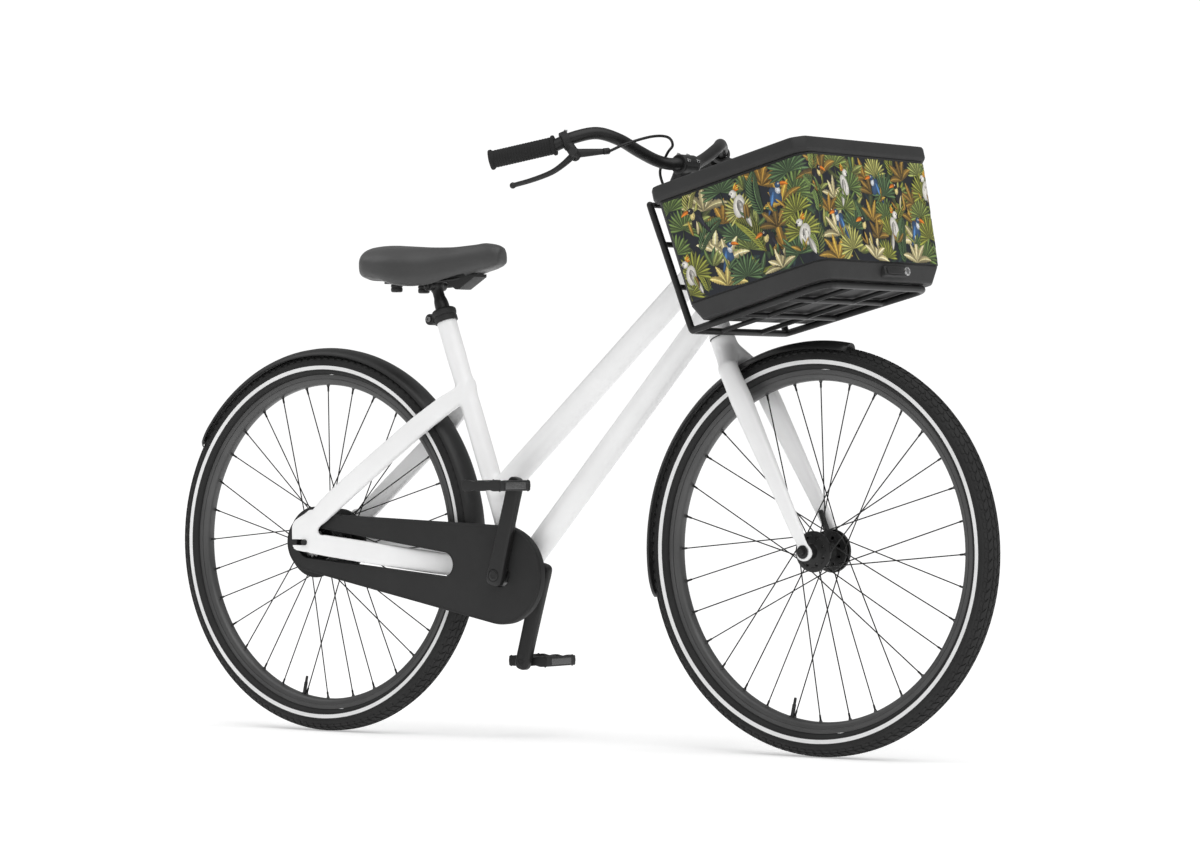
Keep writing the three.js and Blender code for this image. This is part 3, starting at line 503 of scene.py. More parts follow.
WHITE_PAINT = finish_material("white_paint", 243, 250, 0.32, grain=240, bump=0.05, coat=0.25, swing=0.04)
BLACK_METAL = finish_material("black_metal", 36, 44, 0.4, 0.3, grain=1400, bump=0.1, mirror=0.4)
BLACK_PLASTIC = finish_material("black_plastic", 38, 45, 0.55, grain=1100, bump=0.22, mirror=0.3)
GUARD_PLASTIC = finish_material("guard_plastic", 40, 46, 0.6, grain=1300, bump=0.25, mirror=0.25)
FENDER_PLASTIC = finish_material("fender_plastic", 32, 39, 0.42, grain=1300, bump=0.12, mirror=0.4)
CRATE_PLASTIC = finish_material("crate_plastic", 46, 53, 0.6, grain=900, bump=0.35, depth=0.0003, mirror=0.3)
TYRE_RUBBER = finish_material("tyre_rubber", 36, 43, 0.7, grain=1500, bump=0.3, patches=14, mirror=0.3)
GRIP_RUBBER = finish_material("grip_rubber", 32, 39, 0.72, grain=1600, bump=0.35, mirror=0.25)
CABLE_SKIN = finish_material("cable_skin", 28, 34, 0.45, grain=1800, bump=0.08, mirror=0.4)
SADDLE_COVER = finish_material(
    "saddle_cover", 52, 60, 0.46, grain=620, bump=0.4, cells=True, sheen=0.1, depth=0.0003, mirror=0.6)
SADDLE_SHELL = finish_material("saddle_shell", 30, 36, 0.5, grain=1200, bump=0.2, mirror=0.3)
STRIPE = finish_material("reflective_stripe", 226, 240, 0.4, grain=2200, bump=0.3, cells=True, depth=0.0001)
SPOKE_STEEL = finish_material("spoke_steel", 38, 46, 0.34, 0.7, grain=1500, bump=0.05)
DRIVE_STEEL = finish_material("drive_steel", 120, 138, 0.38, 0.9, grain=1200, bump=0.08)
LOCK_METAL = finish_material("lock_metal", 168, 190, 0.26, 0.95, grain=1500, bump=0.06)
SMOKED_LENS = finish_material("smoked_lens", 46, 58, 0.22, grain=500, bump=0.35, cells=True, coat=0.5)
PRINT_INK = printed_material("print_ink")
AXLES = {"front": FRONT_AXLE, "rear": REAR_AXLE}
RIM_FINISH = {
    side: ringed_material(f"{side}_rim_finish", 80, 90, 0.42, 0.55, 1.1, 0.12, hub) for side, hub in AXLES.items()
}
HUB_FINISH = {
    side: ringed_material(f"{side}_hub_finish", 34, 42, 0.36, 0.5, 0.9, 0.1, hub) for side, hub in AXLES.items()
}


def piece(obj, name, body, material, replaces=()):
    """Names, paints and hangs one finished piece on its CAD body."""
    obj.name = name
    obj.data.name = name
    if material:
        obj.data.materials.clear()
        obj.data.materials.append(material)
    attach(obj, body)
    if replaces:
        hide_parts(*replaces)
    return obj


def assembled(name, parts):
    """One object of several painted ones, which keep their own materials."""
    materials, points, faces, indices = [], [], [], []
    for obj, material in parts:
        if material not in materials:
            materials.append(material)
        base = len(points)
        points += [tuple(v.co) for v in obj.data.vertices]
        for polygon in obj.data.polygons:
            faces.append(tuple(base + i for i in polygon.vertices))
            indices.append(materials.index(material))
        bpy.data.objects.remove(obj)
    mesh = bpy.data.meshes.new(name)
    mesh.from_pydata(points, [], faces)
    mesh.polygons.foreach_set("material_index", indices)
    for material in materials:
        mesh.materials.append(material)
    return shade(link(name, mesh))


def mirrored(obj, name):
    """A copy of a piece on the other side of the wheels' plane."""
    mesh = obj.data.copy()
    mesh.transform(Matrix.Scale(-1, 4, LEFT))
    mesh.flip_normals()
    return link(name, mesh)


# ---------------------------------------------------------------- tyres
# The tyre's section from the middle of the tread to the bead: (distance across, radius).
TYRE_SECTION = [
    (0, 355.9), (5, 355.6), (10, 354.3), (14.5, 351.9), (18.6, 348.3), (21.8, 343.4), (23.6, 337.4),
    (24, 332.5), (23.3, 327), (21, 322), (17.2, 318.6), (14.6, 317.4),
]
TREAD_PITCH_COUNT = 130
TREAD_HEIGHT = 2.0


def section_point(across):
    """(y, radius, outward y, outward radius) at a distance measured along the tyre's section."""
    sign = 1 if across >= 0 else -1
    left = abs(across)
    for (y0, r0), (y1, r1) in zip(TYRE_SECTION, TYRE_SECTION[1:]):
        length = math.hypot(y1 - y0, r1 - r0)
        if left <= length:
            t = left / length
            ny, nr = (r0 - r1) / length, (y1 - y0) / length
            return sign * (y0 + (y1 - y0) * t), r0 + (r1 - r0) * t, sign * ny, nr
        left -= length
    raise ValueError("beyond the bead")


def tread_rows():
    """Rows of blocks: (across from, across to, share of a pitch, shift, slant, wave)."""
    rows = []
    for sign in (-1, 1):
        rows.append((sign * 1.2, sign * 8.4, 0.8, 0.0 if sign > 0 else 0.5, 5.5, 1.5))
        rows.append((sign * 10.0, sign * 18.8, 0.78, 0.28 if sign > 0 else 0.78, -5.0, 2.2))
        rows.append((sign * 20.2, sign * 25.0, 0.6, 0.1 if sign > 0 else 0.6, 2.4, 0.8))
    return rows


def tread(hub):
    points, faces = [], []
    pitch = 2 * math.pi / TREAD_PITCH_COUNT
    crown = TYRE_SECTION[0][1]
    slices = 5
    for across_from, across_to, share, shift, slant, wave in tread_rows():
        for k in range(TREAD_PITCH_COUNT):
            base = len(points)
            for i in range(slices):
                t = i / (slices - 1)
                across = across_from + (across_to - across_from) * t
                y, radius, ny, nr = section_point(across)
                lean = (slant * t + wave * math.sin(2 * math.pi * t)) / crown
                inset = 0.12 * pitch if i in (0, slices - 1) else 0
                height = TREAD_HEIGHT * (0.55 if i in (0, slices - 1) else 1)
                for lift in (height, -1.2):
                    for edge in (inset, pitch * share - inset):
                        turn = (k + shift) * pitch + edge + lean
                        r = (radius + nr * lift) * MM
                        points.append(hub + Vector((r * math.cos(turn), (y + ny * lift) * MM, r * math.sin(turn))))
            for i in range(slices - 1):
                a, b = base + 4 * i, base + 4 * (i + 1)
                faces += [(a, a + 1, b + 1, b), (a + 2, b + 2, b + 3, a + 3)]
                faces += [(a, b, b + 2, a + 2), (a + 1, a + 3, b + 3, b + 1)]
            end = base + 4 * (slices - 1)
            faces += [(base, base + 2, base + 3, base + 1), (end, end + 1, end + 3, end + 2)]
    return mesh_object("tread", points, faces, 30)


def wheel_lathe(name, half, hub, inner, segments=180):
    """Revolves a symmetric section: (y, radius) from the crown to the bead, closed at a radius."""
    right = [(r, y) for y, r in half]
    left = [(r, -y) for y, r in reversed(half[1:])]
    closing = [(inner, half[-1][0]), (inner, -half[-1][0])] if inner else []
    return lathe(name, right + closing + left, hub, LEFT, segments, 60)


def sidewall_ring(name, hub, sign, r_from, r_to, proud):
    """A flat ring that lies on the tyre's side."""
    outline = []
    for lift in (proud, -0.6):
        stretch = [r_from, (r_from + r_to) / 2, r_to]
        for radius in stretch if lift > 0 else reversed(stretch):
            y = np.interp(radius, [r for _, r in reversed(TYRE_SECTION)], [y for y, _ in reversed(TYRE_SECTION)])
            outline.append((radius, sign * (y + lift)))
    return lathe(name, outline, hub, LEFT, 180, 30)


def tyre(side, hub):
    carcass = wheel_lathe("carcass", TYRE_SECTION, hub, 0, 180)
    parts = [(carcass, TYRE_RUBBER), (tread(hub), TYRE_RUBBER)]
    for sign in (-1, 1):
        parts.append((sidewall_ring("stripe", hub, sign, 326.6, 333.6, 0.25), STRIPE))
        for radius in (322.6, 336.4, 339.2):
            parts.append((sidewall_ring("ridge", hub, sign, radius, radius + 0.9, 0.45), TYRE_RUBBER))
    obj = assembled(f"{side}_tyre_rubber", parts)
    return piece(obj, f"{side}_tyre_rubber", f"{side}_wheel", None, [f"{side}_tyre"])


# ---------------------------------------------------------------- rims, spokes and hubs
RIM_SECTION = [
    (297, 0), (297.2, 5), (298.4, 8.2), (300.6, 10.8), (304, 12.4), (307.9, 12.9), (308.1, 12.2), (308.9, 12.2),
    (309.1, 13.1), (313, 13.4), (316.8, 13.5), (316.8, 11.8), (313, 10.6), (312, 6), (312, 0),
]
SPOKES = 16
SPOKE_LEAD = math.radians(58)


def rim(side, hub):
    outline = RIM_SECTION + [(r, -y) for r, y in reversed(RIM_SECTION[1:-1])]
    ring = lathe("ring", outline, hub, LEFT, 200, 26)
    parts = [(ring, RIM_FINISH[side])]
    valve_turn = math.radians(258)
    valve_axis = Vector((math.cos(valve_turn), 0, math.sin(valve_turn)))
    stem = [(0, 262), (2.2, 262.4), (2.6, 265), (2.6, 274), (3.4, 274.4), (3.4, 295), (5.4, 295.5), (5.4, 298), (0, 298)]
    parts.append((lathe("valve", stem, hub, valve_axis, 20), BLACK_METAL))
    for eye in range(2 * SPOKES):
        turn = math.pi * eye / SPOKES
        outward = Vector((math.cos(turn), 0, math.sin(turn)))
        offset = LEFT * (2.5 * MM * (1 if eye % 2 else -1))
        socket = [(0, 294.4), (3.0, 294.8), (3.2, 297.6), (0, 298.5)]
        parts.append((lathe("socket", socket, hub + offset, outward, 10), RIM_FINISH[side]))
    obj = assembled(f"{side}_rim_hoop", parts)
    return piece(obj, f"{side}_rim_hoop", f"{side}_wheel", None, [f"{side}_rim"])


def spokes(side, hub, hand, flange_y):
    """One side's spokes, each bent at the flange and screwed into its nipple at the rim."""
    sign = 1 if hand == "left" else -1
    phase = math.pi / SPOKES if hand == "left" else 0.0
    parts = []
    for i in range(SPOKES):
        rim_turn = phase + 2 * math.pi * i / SPOKES
        lean = SPOKE_LEAD if i % 2 else -SPOKE_LEAD
        hub_turn = rim_turn + lean
        face = 3.6 if i % 2 else -3.6
        seat = Vector((math.cos(hub_turn), 0, math.sin(hub_turn))) * (31.5 * MM)
        end = hub + Vector((math.cos(rim_turn), 0, math.sin(rim_turn))) * (296 * MM) + LEFT * (sign * 2.5 * MM)
        head = hub + seat + LEFT * ((sign * flange_y - face * 0.9) * MM)
        elbow = hub + seat + LEFT * ((sign * flange_y + face * 0.75) * MM)
        run = (end - elbow).normalized()
        parts.append(tube("spoke", [head, elbow, elbow + run * (4 * MM), end], 1.15, 8, 3))
        parts.append(ball("head", head, 1.9, 0.6, LEFT, 10))
        nipple = [(0, 0), (1.5, 0.3), (1.9, 2), (1.9, 9), (2.3, 9.4), (2.3, 12.5), (0, 12.5)]
        parts.append(lathe("nipple", nipple, end - run * (12 * MM), run, 8))
    obj = assembled(f"{side}_{hand}_spokes", [(p, SPOKE_STEEL) for p in parts])
    name = f"{side}_{hand}_spokes"
    return piece(obj, name, f"{side}_wheel", None, [f"{side}_spokes_{hand}"])


FRONT_HUB = [
    (5.6, -46), (9.5, -46), (11.6, -45), (12.4, -42), (13.2, -33), (16, -31), (24, -30.2), (33, -29),
    (35.6, -28), (36, -26.8), (36, -23.4), (35.4, -22.4), (30, -21.4), (19, -18.6), (16.2, -14), (15, 0),
    (16.2, 14), (19, 18.6), (30, 21.4), (35.4, 22.4), (36, 23.4), (36, 26.8), (35.6, 28), (30, 29.5), (5.6, 30),
]
REAR_HUB = [
    (5.6, -33), (13, -33), (15, -32), (16.6, -29), (24, -28.4), (33, -28), (35.6, -27.2), (36, -26),
    (36, -22.6), (35.4, -21.8), (30, -20.6), (21, -18), (19.2, -12), (19, 0), (19.2, 12), (21, 18),
    (30, 20.6), (35.4, 21.8), (36, 22.8), (36, 26), (35.6, 27.2), (30, 29.3), (5.6, 30),
]


def hub_shell(side, hub, outline):
    shell = lathe("shell", outline, hub, LEFT, 96)
    for sign in (-1, 1):
        for k in range(8):
            turn = 2 * math.pi * (k + 0.5) / 8
            place = hub + Vector((math.cos(turn), 0, math.sin(turn))) * (24.5 * MM) + LEFT * (sign * 27 * MM)
            hole = lathe("hole", [(0, -9), (3.1, -9), (3.1, 9), (0, 9)], place, LEFT, 16)
            combine(shell, hole, "DIFFERENCE")
    return piece(shade(shell), f"{side}_hub_shell", f"{side}_wheel", HUB_FINISH[side], [f"{side}_hub"])


for side_name, hub_place, hub_outline, flange in (
    ("front", FRONT_AXLE, FRONT_HUB, 25),
    ("rear", REAR_AXLE, REAR_HUB, 24),
):
    tyre(side_name, hub_place)
    rim(side_name, hub_place)
    hub_shell(side_name, hub_place, hub_outline)
    spokes(side_name, hub_place, "right", flange)
    spokes(side_name, hub_place, "left", flange)


# ---------------------------------------------------------------- axles and brake plates
def axle(side, hub, body, dropout_out, nut_depth, end, washer_radius):
    core = [(0, -end), (4.2, -end), (4.8, -end + 1), (4.8, end - 1), (4.2, end), (0, end)]
    parts = [(lathe("core", core, hub, LEFT, 24), BLACK_METAL)]
    for sign in (-1, 1):
        face = hub + LEFT * (sign * (dropout_out + 0.3) * MM)
        if washer_radius:
            rim_out = washer_radius
            washer = [(5.1, 0), (rim_out - 0.4, 0), (rim_out, 0.4), (rim_out, 1.2), (rim_out - 0.6, 1.6), (5.1, 1.6)]
            parts.append((lathe("washer", washer, face, LEFT * sign, 40), HUB_FINISH["front"]))
        wide = 6.6 if washer_radius else 5.5
        nut = [(4.7, 0.2), (wide - 0.4, 0.2), (wide, 0.7), (wide, nut_depth - 1.2), (wide - 0.6, nut_depth - 0.3),
               (4.7, nut_depth - 0.3)]
        parts.append((lathe("nut", nut, face, LEFT * sign, 6), BLACK_METAL))
    obj = assembled(f"{side}_axle_and_nuts", parts)
    return piece(obj, f"{side}_axle_and_nuts", body, None, [f"{side}_axle"])


def brake_plate(side, hub, body, radius, y_from, y_to, arm_end):
    depth = y_to - y_from
    disc = [
        (5.6, 0), (radius - 1, 0), (radius, 1), (radius, 5), (radius - 2, 6.5), (radius - 3.5, 7.5),
        (radius * 0.62, 9), (radius * 0.58, depth - 4), (radius * 0.5, depth - 1), (12, depth), (5.6, depth),
    ]
    root = hub + LEFT * (y_from * MM)
    body_disc = lathe("disc", disc, root, LEFT, 96)
    arm_root = hub + LEFT * ((y_from + 6) * MM)
    heading = (arm_end - arm_root).normalized()
    arm = tube("arm", [arm_root + heading * (radius * 0.4 * MM), (arm_root + arm_end) / 2, arm_end], [6.5, 5.5, 4.8], 16)
    combine(body_disc, arm, "UNION")
    combine(body_disc, ball("eye", arm_end, 5.0), "UNION")
    return piece(shade(body_disc), f"{side}_brake_anchor", body, HUB_FINISH[side], [f"{side}_brake_plate"])


axle("front", FRONT_AXLE, "steering", 59, 5, 68, 11.4)
axle("rear", REAR_AXLE, "frame", 71, 4, 77, 0)
brake_plate("front", FRONT_AXLE, "steering", 38, 31, 46, mm(533, 40, 425))
brake_plate("rear", REAR_AXLE, "frame", 62, 31, 50, mm(-480, 42, 349))


# ---------------------------------------------------------------- fenders
FENDER_OUTER = [
    (-26.8, 353.0), (-26.6, 354.6), (-24.6, 358.4), (-21, 361.7), (-16, 364.3), (-10, 366.2), (0, 367.4),
    (10, 366.2), (16, 364.3), (21, 361.7), (24.6, 358.4), (26.6, 354.6), (26.8, 353.0),
]
FENDER_WALL = 2.2


def fender(side, hub, body, from_degrees, to_degrees):
    inner = [(y * 0.925, r - FENDER_WALL * (0.35 + 0.65 * (1 - abs(y) / 26.8))) for y, r in reversed(FENDER_OUTER)]
    inner[0] = (FENDER_OUTER[-1][0] - 1.8, 352.6)
    inner[-1] = (FENDER_OUTER[0][0] + 1.8, 352.6)
    section = FENDER_OUTER + inner
    steps, rings = 120, []
    for i in range(steps + 1):
        share = i / steps
        turn = math.radians(from_degrees + (to_degrees - from_degrees) * share)
        reach = min(share, 1 - share) * abs(to_degrees - from_degrees) / 7
        narrow = math.sqrt(max(0.0, 1 - max(0.0, 1 - reach) ** 2)) * 0.45 + 0.55
        radial = Vector((math.cos(turn), 0, math.sin(turn)))
        rings.append([hub + LEFT * (y * narrow * MM) + radial * (r * MM) for y, r in section])
    shell = loft(f"{side}_fender_shell", rings, angle=50)
    return piece(shell, f"{side}_fender_shell", body, FENDER_PLASTIC, [f"{side}_fender"])


fender("front", FRONT_AXLE, "steering", 80.2, 193.8)
fender("rear", REAR_AXLE, "frame", -7.8, 149.8)


# ---------------------------------------------------------------- frame
# Stations of the flat stays: x, y, z, thickness, height.
CHAINSTAY = [
    (-112, 26, 306, 14, 36), (-160, 30, 311, 11, 38), (-212, 32.6, 317.5, 8, 40), (-242, 33, 321, 8, 40),
    (-280, 39, 325, 11, 41), (-400, 54, 339, 14, 41), (-500, 64.5, 351, 13, 40), (-552, 66, 357, 12, 38),
]
SEATSTAY = [
    (-577, 66, 368, 10, 34), (-556, 66, 385, 11, 42), (-504, 65.6, 429, 13, 50), (-346, 50, 547.5, 14, 48), (-290, 39.5, 589.5, 14, 45),
    (-248, 26, 621, 14, 42), (-214, 10, 646, 14, 38),
]
DROPOUT = [
    (-576, 341), (-590, 345), (-593, 357), (-593.5, 372), (-593.5, 395), (-570, 409), (-540, 426), (-530, 376), (-526, 350),
    (-532, 338),
]


def between(stations, steps):
    """Station values along a smooth curve through them."""
    columns = [Vector((*s[:3],)) for s in stations]
    places = smooth_path(columns, steps)
    sizes = [Vector((s[3], s[4], 0)) for s in stations]
    return list(zip(places, smooth_path(sizes, steps)))


def stay(name, stations, mirror):
    section = ellipse(28, 4.2)
    rings = []
    for place, size in between(stations, 5):
        rings.append([mm(place.x, mirror * place.y + a * size.x / 2, place.z + b * size.y / 2) for a, b in section])
    return loft(name, rings)


def softened(points, rounds=2):
    """A closed outline with its corners rounded off."""
    for _ in range(rounds):
        out = []
        for (ax, az), (bx, bz) in zip(points, points[1:] + points[:1]):
            out += [(ax * 0.75 + bx * 0.25, az * 0.75 + bz * 0.25), (ax * 0.25 + bx * 0.75, az * 0.25 + bz * 0.75)]
        points = out
    return points


def frame_skin():
    seat_top = on_seat_tube(504)
    parts = [
        rod("head", on_steerer(-2), on_steerer(214), 21, sides=64),
        rod("top", on_seat_tube(153), on_steerer(137), 23, sides=64),
        rod("down", BB, on_steerer(61), 23, sides=64),
        rod("seat", on_seat_tube(-6), on_seat_tube(512), 18.5, sides=64),
        rod("shell", BB - LEFT * (38 * MM), BB + LEFT * (38 * MM), 22, sides=64),
    ]
    for mirror in (-1, 1):
        parts.append(stay("chainstay", CHAINSTAY, mirror))
        parts.append(stay("seatstay", SEATSTAY, mirror))
        low, high = sorted((mirror * 61.6, mirror * 71))
        parts.append(plate("dropout", softened(DROPOUT), [], low, high, 1.5))
    joints = [
        (on_steerer(137), 62), (on_steerer(61), 62), (on_seat_tube(153), 60), (BB, 62), (on_seat_tube(378), 52),
        (mm(-548, -66, 384), 36), (mm(-548, 66, 384), 36),
    ]
    skin = weld("frame_skin", parts, 2.4, joints, 34)
    tools = [
        lathe("end", [(0, -60), (60, -60), (60, 7), (0, 7)], LOWER_RACE, STEER_AXIS, 48),
        lathe("end", [(0, 205), (60, 205), (60, 240), (0, 240)], LOWER_RACE, STEER_AXIS, 48),
        lathe("bore", [(0, -10), (14, -10), (14, 220), (0, 220)], LOWER_RACE, STEER_AXIS, 48),
        lathe("end", [(0, 0), (50, 0), (50, 30), (0, 30)], seat_top, SEAT_AXIS, 48),
        lathe("bore", [(0, 300), (14.4, 300), (14.4, 540), (0, 540)], BB, SEAT_AXIS, 48),
        lathe("bore", [(0, -60), (9, -60), (9, 60), (0, 60)], BB, LEFT, 32),
    ]
    for sign in (-1, 1):
        tools.append(lathe("end", [(0, 34), (24.5, 34), (24.5, 50), (0, 50)], BB, LEFT * sign, 48))
        low, high = sorted((sign * 50, sign * 80))
        z = REAR_AXLE.z / MM
        slot = [(-640, z - 5.6), *arc(-560.4, z, 5.6, -math.pi / 2, math.pi / 2, 12), (-640, z + 5.6)]
        tools.append(plate("slot", slot, [], low, high, 0.0))
    cut(skin, *tools)
    nodes = ["head_tube", "top_tube", "down_tube", "seat_tube", "bottom_bracket"]
    nodes += [f"{side}_{kind}" for side in ("right", "left") for kind in ("chainstay", "seatstay")]
    return piece(skin, "frame_skin", "frame", WHITE_PAINT, nodes)


frame_skin()

rings = []
for start, outline in (
    (7.2, [(14.4, 0), (21.8, 0), (22.2, 0.5), (22.2, 4.6), (21.8, 5.2), (14.4, 5.2)]),
    (13.6, [(20.6, 0), (21.6, 0.3), (21.6, 1.7), (20.6, 2)]),
    (199.0, [(14.4, 0), (21.8, 0), (22.2, 0.5), (22.2, 5.1), (21.8, 5.7), (14.4, 5.7)]),
):
    rings.append((lathe("ring", outline, on_steerer(start), STEER_AXIS, 72), WHITE_PAINT))
piece(assembled("head_tube_rings", rings), "head_tube_rings", "frame", None)
cups = []
for sign in (-1, 1):
    cup = [(9.2, 34.2), (19.5, 34.2), (20, 34.7), (20, 36.2), (19.2, 36.8), (9.2, 36.8)]
    cups.append((lathe("cup", cup, BB, LEFT * sign, 48), BLACK_METAL))
piece(assembled("bottom_bracket_cups", cups), "bottom_bracket_cups", "frame", None)

COLLAR = [
    (14.4, 0.3), (18.7, 0.3), (18.7, -9), (21.3, -9), (22, -8.2), (22, 0.4), (20.9, 1.2), (20.9, 2.6), (22.4, 3.6),
    (23.4, 8), (23.4, 12), (21.6, 14.4), (19.6, 16), (16, 17.3), (14.4, 17.3),
]


def seat_collar():
    """A clamp ring with a bolted lug behind the post."""
    ring = lathe("collar", COLLAR, on_seat_tube(504.3), SEAT_AXIS, 64)
    combine(ring, rod("lug", mm(-307, -11.6, 775), mm(-307, 11.6, 775), 10.4), "UNION")
    combine(ring, rod("bridge", on_seat_tube(512), mm(-303, 0, 779), 10), "UNION")
    bore = lathe("bore", [(0, 480), (14.4, 480), (14.4, 540), (0, 540)], BB, SEAT_AXIS, 64)
    slit = plate("slit", [(-330, 760), (-330, 800), (-294, 800), (-294, 760)], [], -0.8, 0.8, 0.0)
    cut(ring, bore, slit)
    parts = [(shade(ring), BLACK_PLASTIC)]
    for sign in (-1, 1):
        bolt = [(0, 11.5), (5, 11.5), (5.3, 11.9), (5.3, 14.2), (4.6, 14.8), (2.6, 14.8), (2.6, 13), (0, 13)]
        parts.append((lathe("bolt", bolt, mm(-308, 0, 775.5), LEFT * sign, 24), DRIVE_STEEL))
    return piece(assembled("seat_collar_clamp", parts), "seat_collar_clamp", "frame", None,
                 ["seat_collar"])


seat_collar()


# ---------------------------------------------------------------- seatpost and saddle
POST_TOP = on_seat_tube(572)


def seatpost():
    outline = [
        (0, 360), (13, 360), (13.5, 360.6), (13.5, 530), (12.6, 537), (10.6, 545), (10.4, 556), (12.4, 562),
        (15, 566), (15, 572), (13.6, 574.5), (0, 574.5),
    ]
    post = lathe("post", outline, BB, SEAT_AXIS, 48)
    clamp = [(0, -24), (8.8, -24), (9.8, -23), (9.8, 23), (8.8, 24), (0, 24)]
    middle = Vector((POST_TOP.x, 0, 838 * MM))
    combine(post, lathe("clamp", clamp, middle, LEFT, 40), "UNION")
    for sign in (-1, 1):
        bolt = [(0, 23), (5.2, 23), (5.6, 23.5), (5.6, 27), (4.8, 28), (2.4, 28), (2.4, 26.4), (0, 26.4)]
        combine(post, lathe("bolt", bolt, middle, LEFT * sign, 24), "UNION")
    return piece(shade(post), "seatpost_turned", "seatpost", BLACK_METAL, ["seatpost"])


# Across the saddle: x, half width, top and underside, all a little inside the finished cover.
SADDLE = [
    (-444.5, 33, 900, 864), (-442, 50, 905.5, 858), (-434, 66, 910, 855), (-416, 77.5, 912.5, 850.5),
    (-375, 82.5, 912.5, 843), (-350, 82, 911, 838), (-325, 77, 909.5, 835.5), (-300, 66.5, 908, 837),
    (-275, 54, 907.5, 841), (-245, 41, 908, 849), (-215, 34, 910.5, 856.5), (-185, 28.5, 912.5, 864),
    (-158, 23, 911.5, 870), (-141, 14.5, 906, 875.5),
]
SKIRT_CORNER = 7.0  # how square the pad's section is at its lower edge
SADDLE_CEILING = 858.4  # the height of the hollow under the pad


def saddle_shape():
    places = smooth_path([Vector(s[:3]) for s in SADDLE], 4)
    bottoms = smooth_path([Vector((s[3], 0, 0)) for s in SADDLE], 4)
    rings = []
    for place, bottom in zip(places, bottoms):
        x, half, top = place
        low = bottom.x
        ring = []
        crown, base = ellipse(40, 2.5), ellipse(40, SKIRT_CORNER)
        for a, b in [p if p[1] > 0 else q for p, q in zip(crown, base)]:
            across = half * a
            height = (top + low) / 2 + (top - low) / 2 * b
            dip = 3.2 * math.exp(-((across / 13) ** 2)) if b > 0.3 and -405 < x < -185 else 0
            skirt = -5.0 * abs(a) ** 3 if b > 0 else 0
            ring.append(mm(x, across, height - dip + skirt))
        rings.append(ring)
    return loft("saddle_pad", rings, angle=80)


def inflate(obj, voxel, cap):
    """Puffs a padded piece up with a short cloth simulation, its travel capped."""
    modifier = obj.modifiers.new("skin", "REMESH")
    modifier.mode = "VOXEL"
    modifier.voxel_size = voxel * MM
    bake(obj)
    relax(obj, 8)
    before = np.array([v.co for v in obj.data.vertices])
    cloth = obj.modifiers.new("cloth", "CLOTH")
    cloth.settings.quality = 4
    cloth.settings.mass = 0.3
    cloth.settings.use_pressure = True
    cloth.settings.uniform_pressure_force = 4
    cloth.settings.tension_stiffness = 25
    cloth.settings.compression_stiffness = 25
    cloth.settings.effector_weights.gravity = 0
    cloth.collision_settings.use_self_collision = False
    for number in range(1, 21):
        bpy.context.scene.frame_set(number)
    bake(obj)
    bpy.context.scene.frame_set(1)
    after = np.array([v.co for v in obj.data.vertices])
    travel = after - before
    length = np.linalg.norm(travel, axis=1)
    travel *= np.minimum(1, cap * MM / np.maximum(length, 1e-9))[:, None]
    obj.data.vertices.foreach_set("co", (before + travel).ravel())
    obj.data.update()
    relax(obj, 6)
    return obj


def saddle():
    pad = saddle_shape()
    inflate(pad, 4.5, 2.5)
    modifier = pad.modifiers.new("round", "SUBSURF")
    modifier.levels = 1
    bake(pad)
    room = loft("room", [saddle_plan(760, 0.8), saddle_plan(SADDLE_CEILING, 0.79)], angle=30)
    combine(pad, room, "DIFFERENCE")
    shade(pad, 60)
    piece(pad, "saddle_pad", "seatpost", SADDLE_COVER, ["saddle"])
    return pad


def saddle_plan(height, share):
    """A level outline inside the saddle's skirt, a share of its width."""
    outline = [s for s in SADDLE if -420 < s[0] < -190]
    right = [mm(s[0], -s[1] * share, height) for s in outline]
    return right + [mm(s[0], s[1] * share, height) for s in reversed(outline)]


def saddle_underside():
    """The moulded shell in the hollow of the pad, with its keel, two bumpers and the rails."""
    shell = loft("shell", [saddle_plan(SADDLE_CEILING - 2, 0.785), saddle_plan(SADDLE_CEILING - 0.1, 0.785)], angle=50)
    parts = [(shell, SADDLE_SHELL)]
    spine = [(-410, 843), (-410, 857), (-195, 857.5), (-195, 852), (-232, 829.5), (-240, 829.5), (-262, 843)]
    keel = plate("keel", spine, [], -19, 19, 1.5)
    post_room = lathe("room", [(0, -60), (15.6, -60), (15.6, 3), (0, 3)], POST_TOP, SEAT_AXIS, 32)
    clamp_at = Vector((POST_TOP.x, 0, 838 * MM))
    clamp_room = lathe("room", [(0, -29), (10.4, -29), (10.4, 29), (0, 29)], clamp_at, LEFT, 32)
    parts.append((cut(keel, post_room, clamp_room), SADDLE_SHELL))
    for y in (-40, 40):
        bumper = [
            (0, 0), (8.5, 0), (10.6, 1.4), (11, 4), (11, 7), (10.2, 8), (10.2, 9), (11, 10), (11, 13), (10.2, 14),
            (10.2, 31), (0, 31),
        ]
        parts.append((lathe("bumper", bumper, mm(-362, y, 826), UP, 40), CABLE_SKIN))
    for y in (-17, 17):
        rail = [mm(-408, y * 1.5, 857), mm(-396, y * 1.4, 851), mm(-370, y, 846), mm(-300, y, 845),
                mm(-240, y, 849), mm(-208, y * 0.7, 857)]
        parts.append((tube("rail", rail, 3.4, 14), BLACK_METAL))
    obj = assembled("saddle_underside", parts)
    return piece(obj, "saddle_underside", "seatpost", None, ["saddle_base"])


seatpost()
saddle()
saddle_underside()


# ---------------------------------------------------------------- chain guard and chain
SLOT_FRONT = mm(-237, 0, 322)
AXLE_LINE = Vector((REAR_AXLE.x, 0, REAR_AXLE.z))


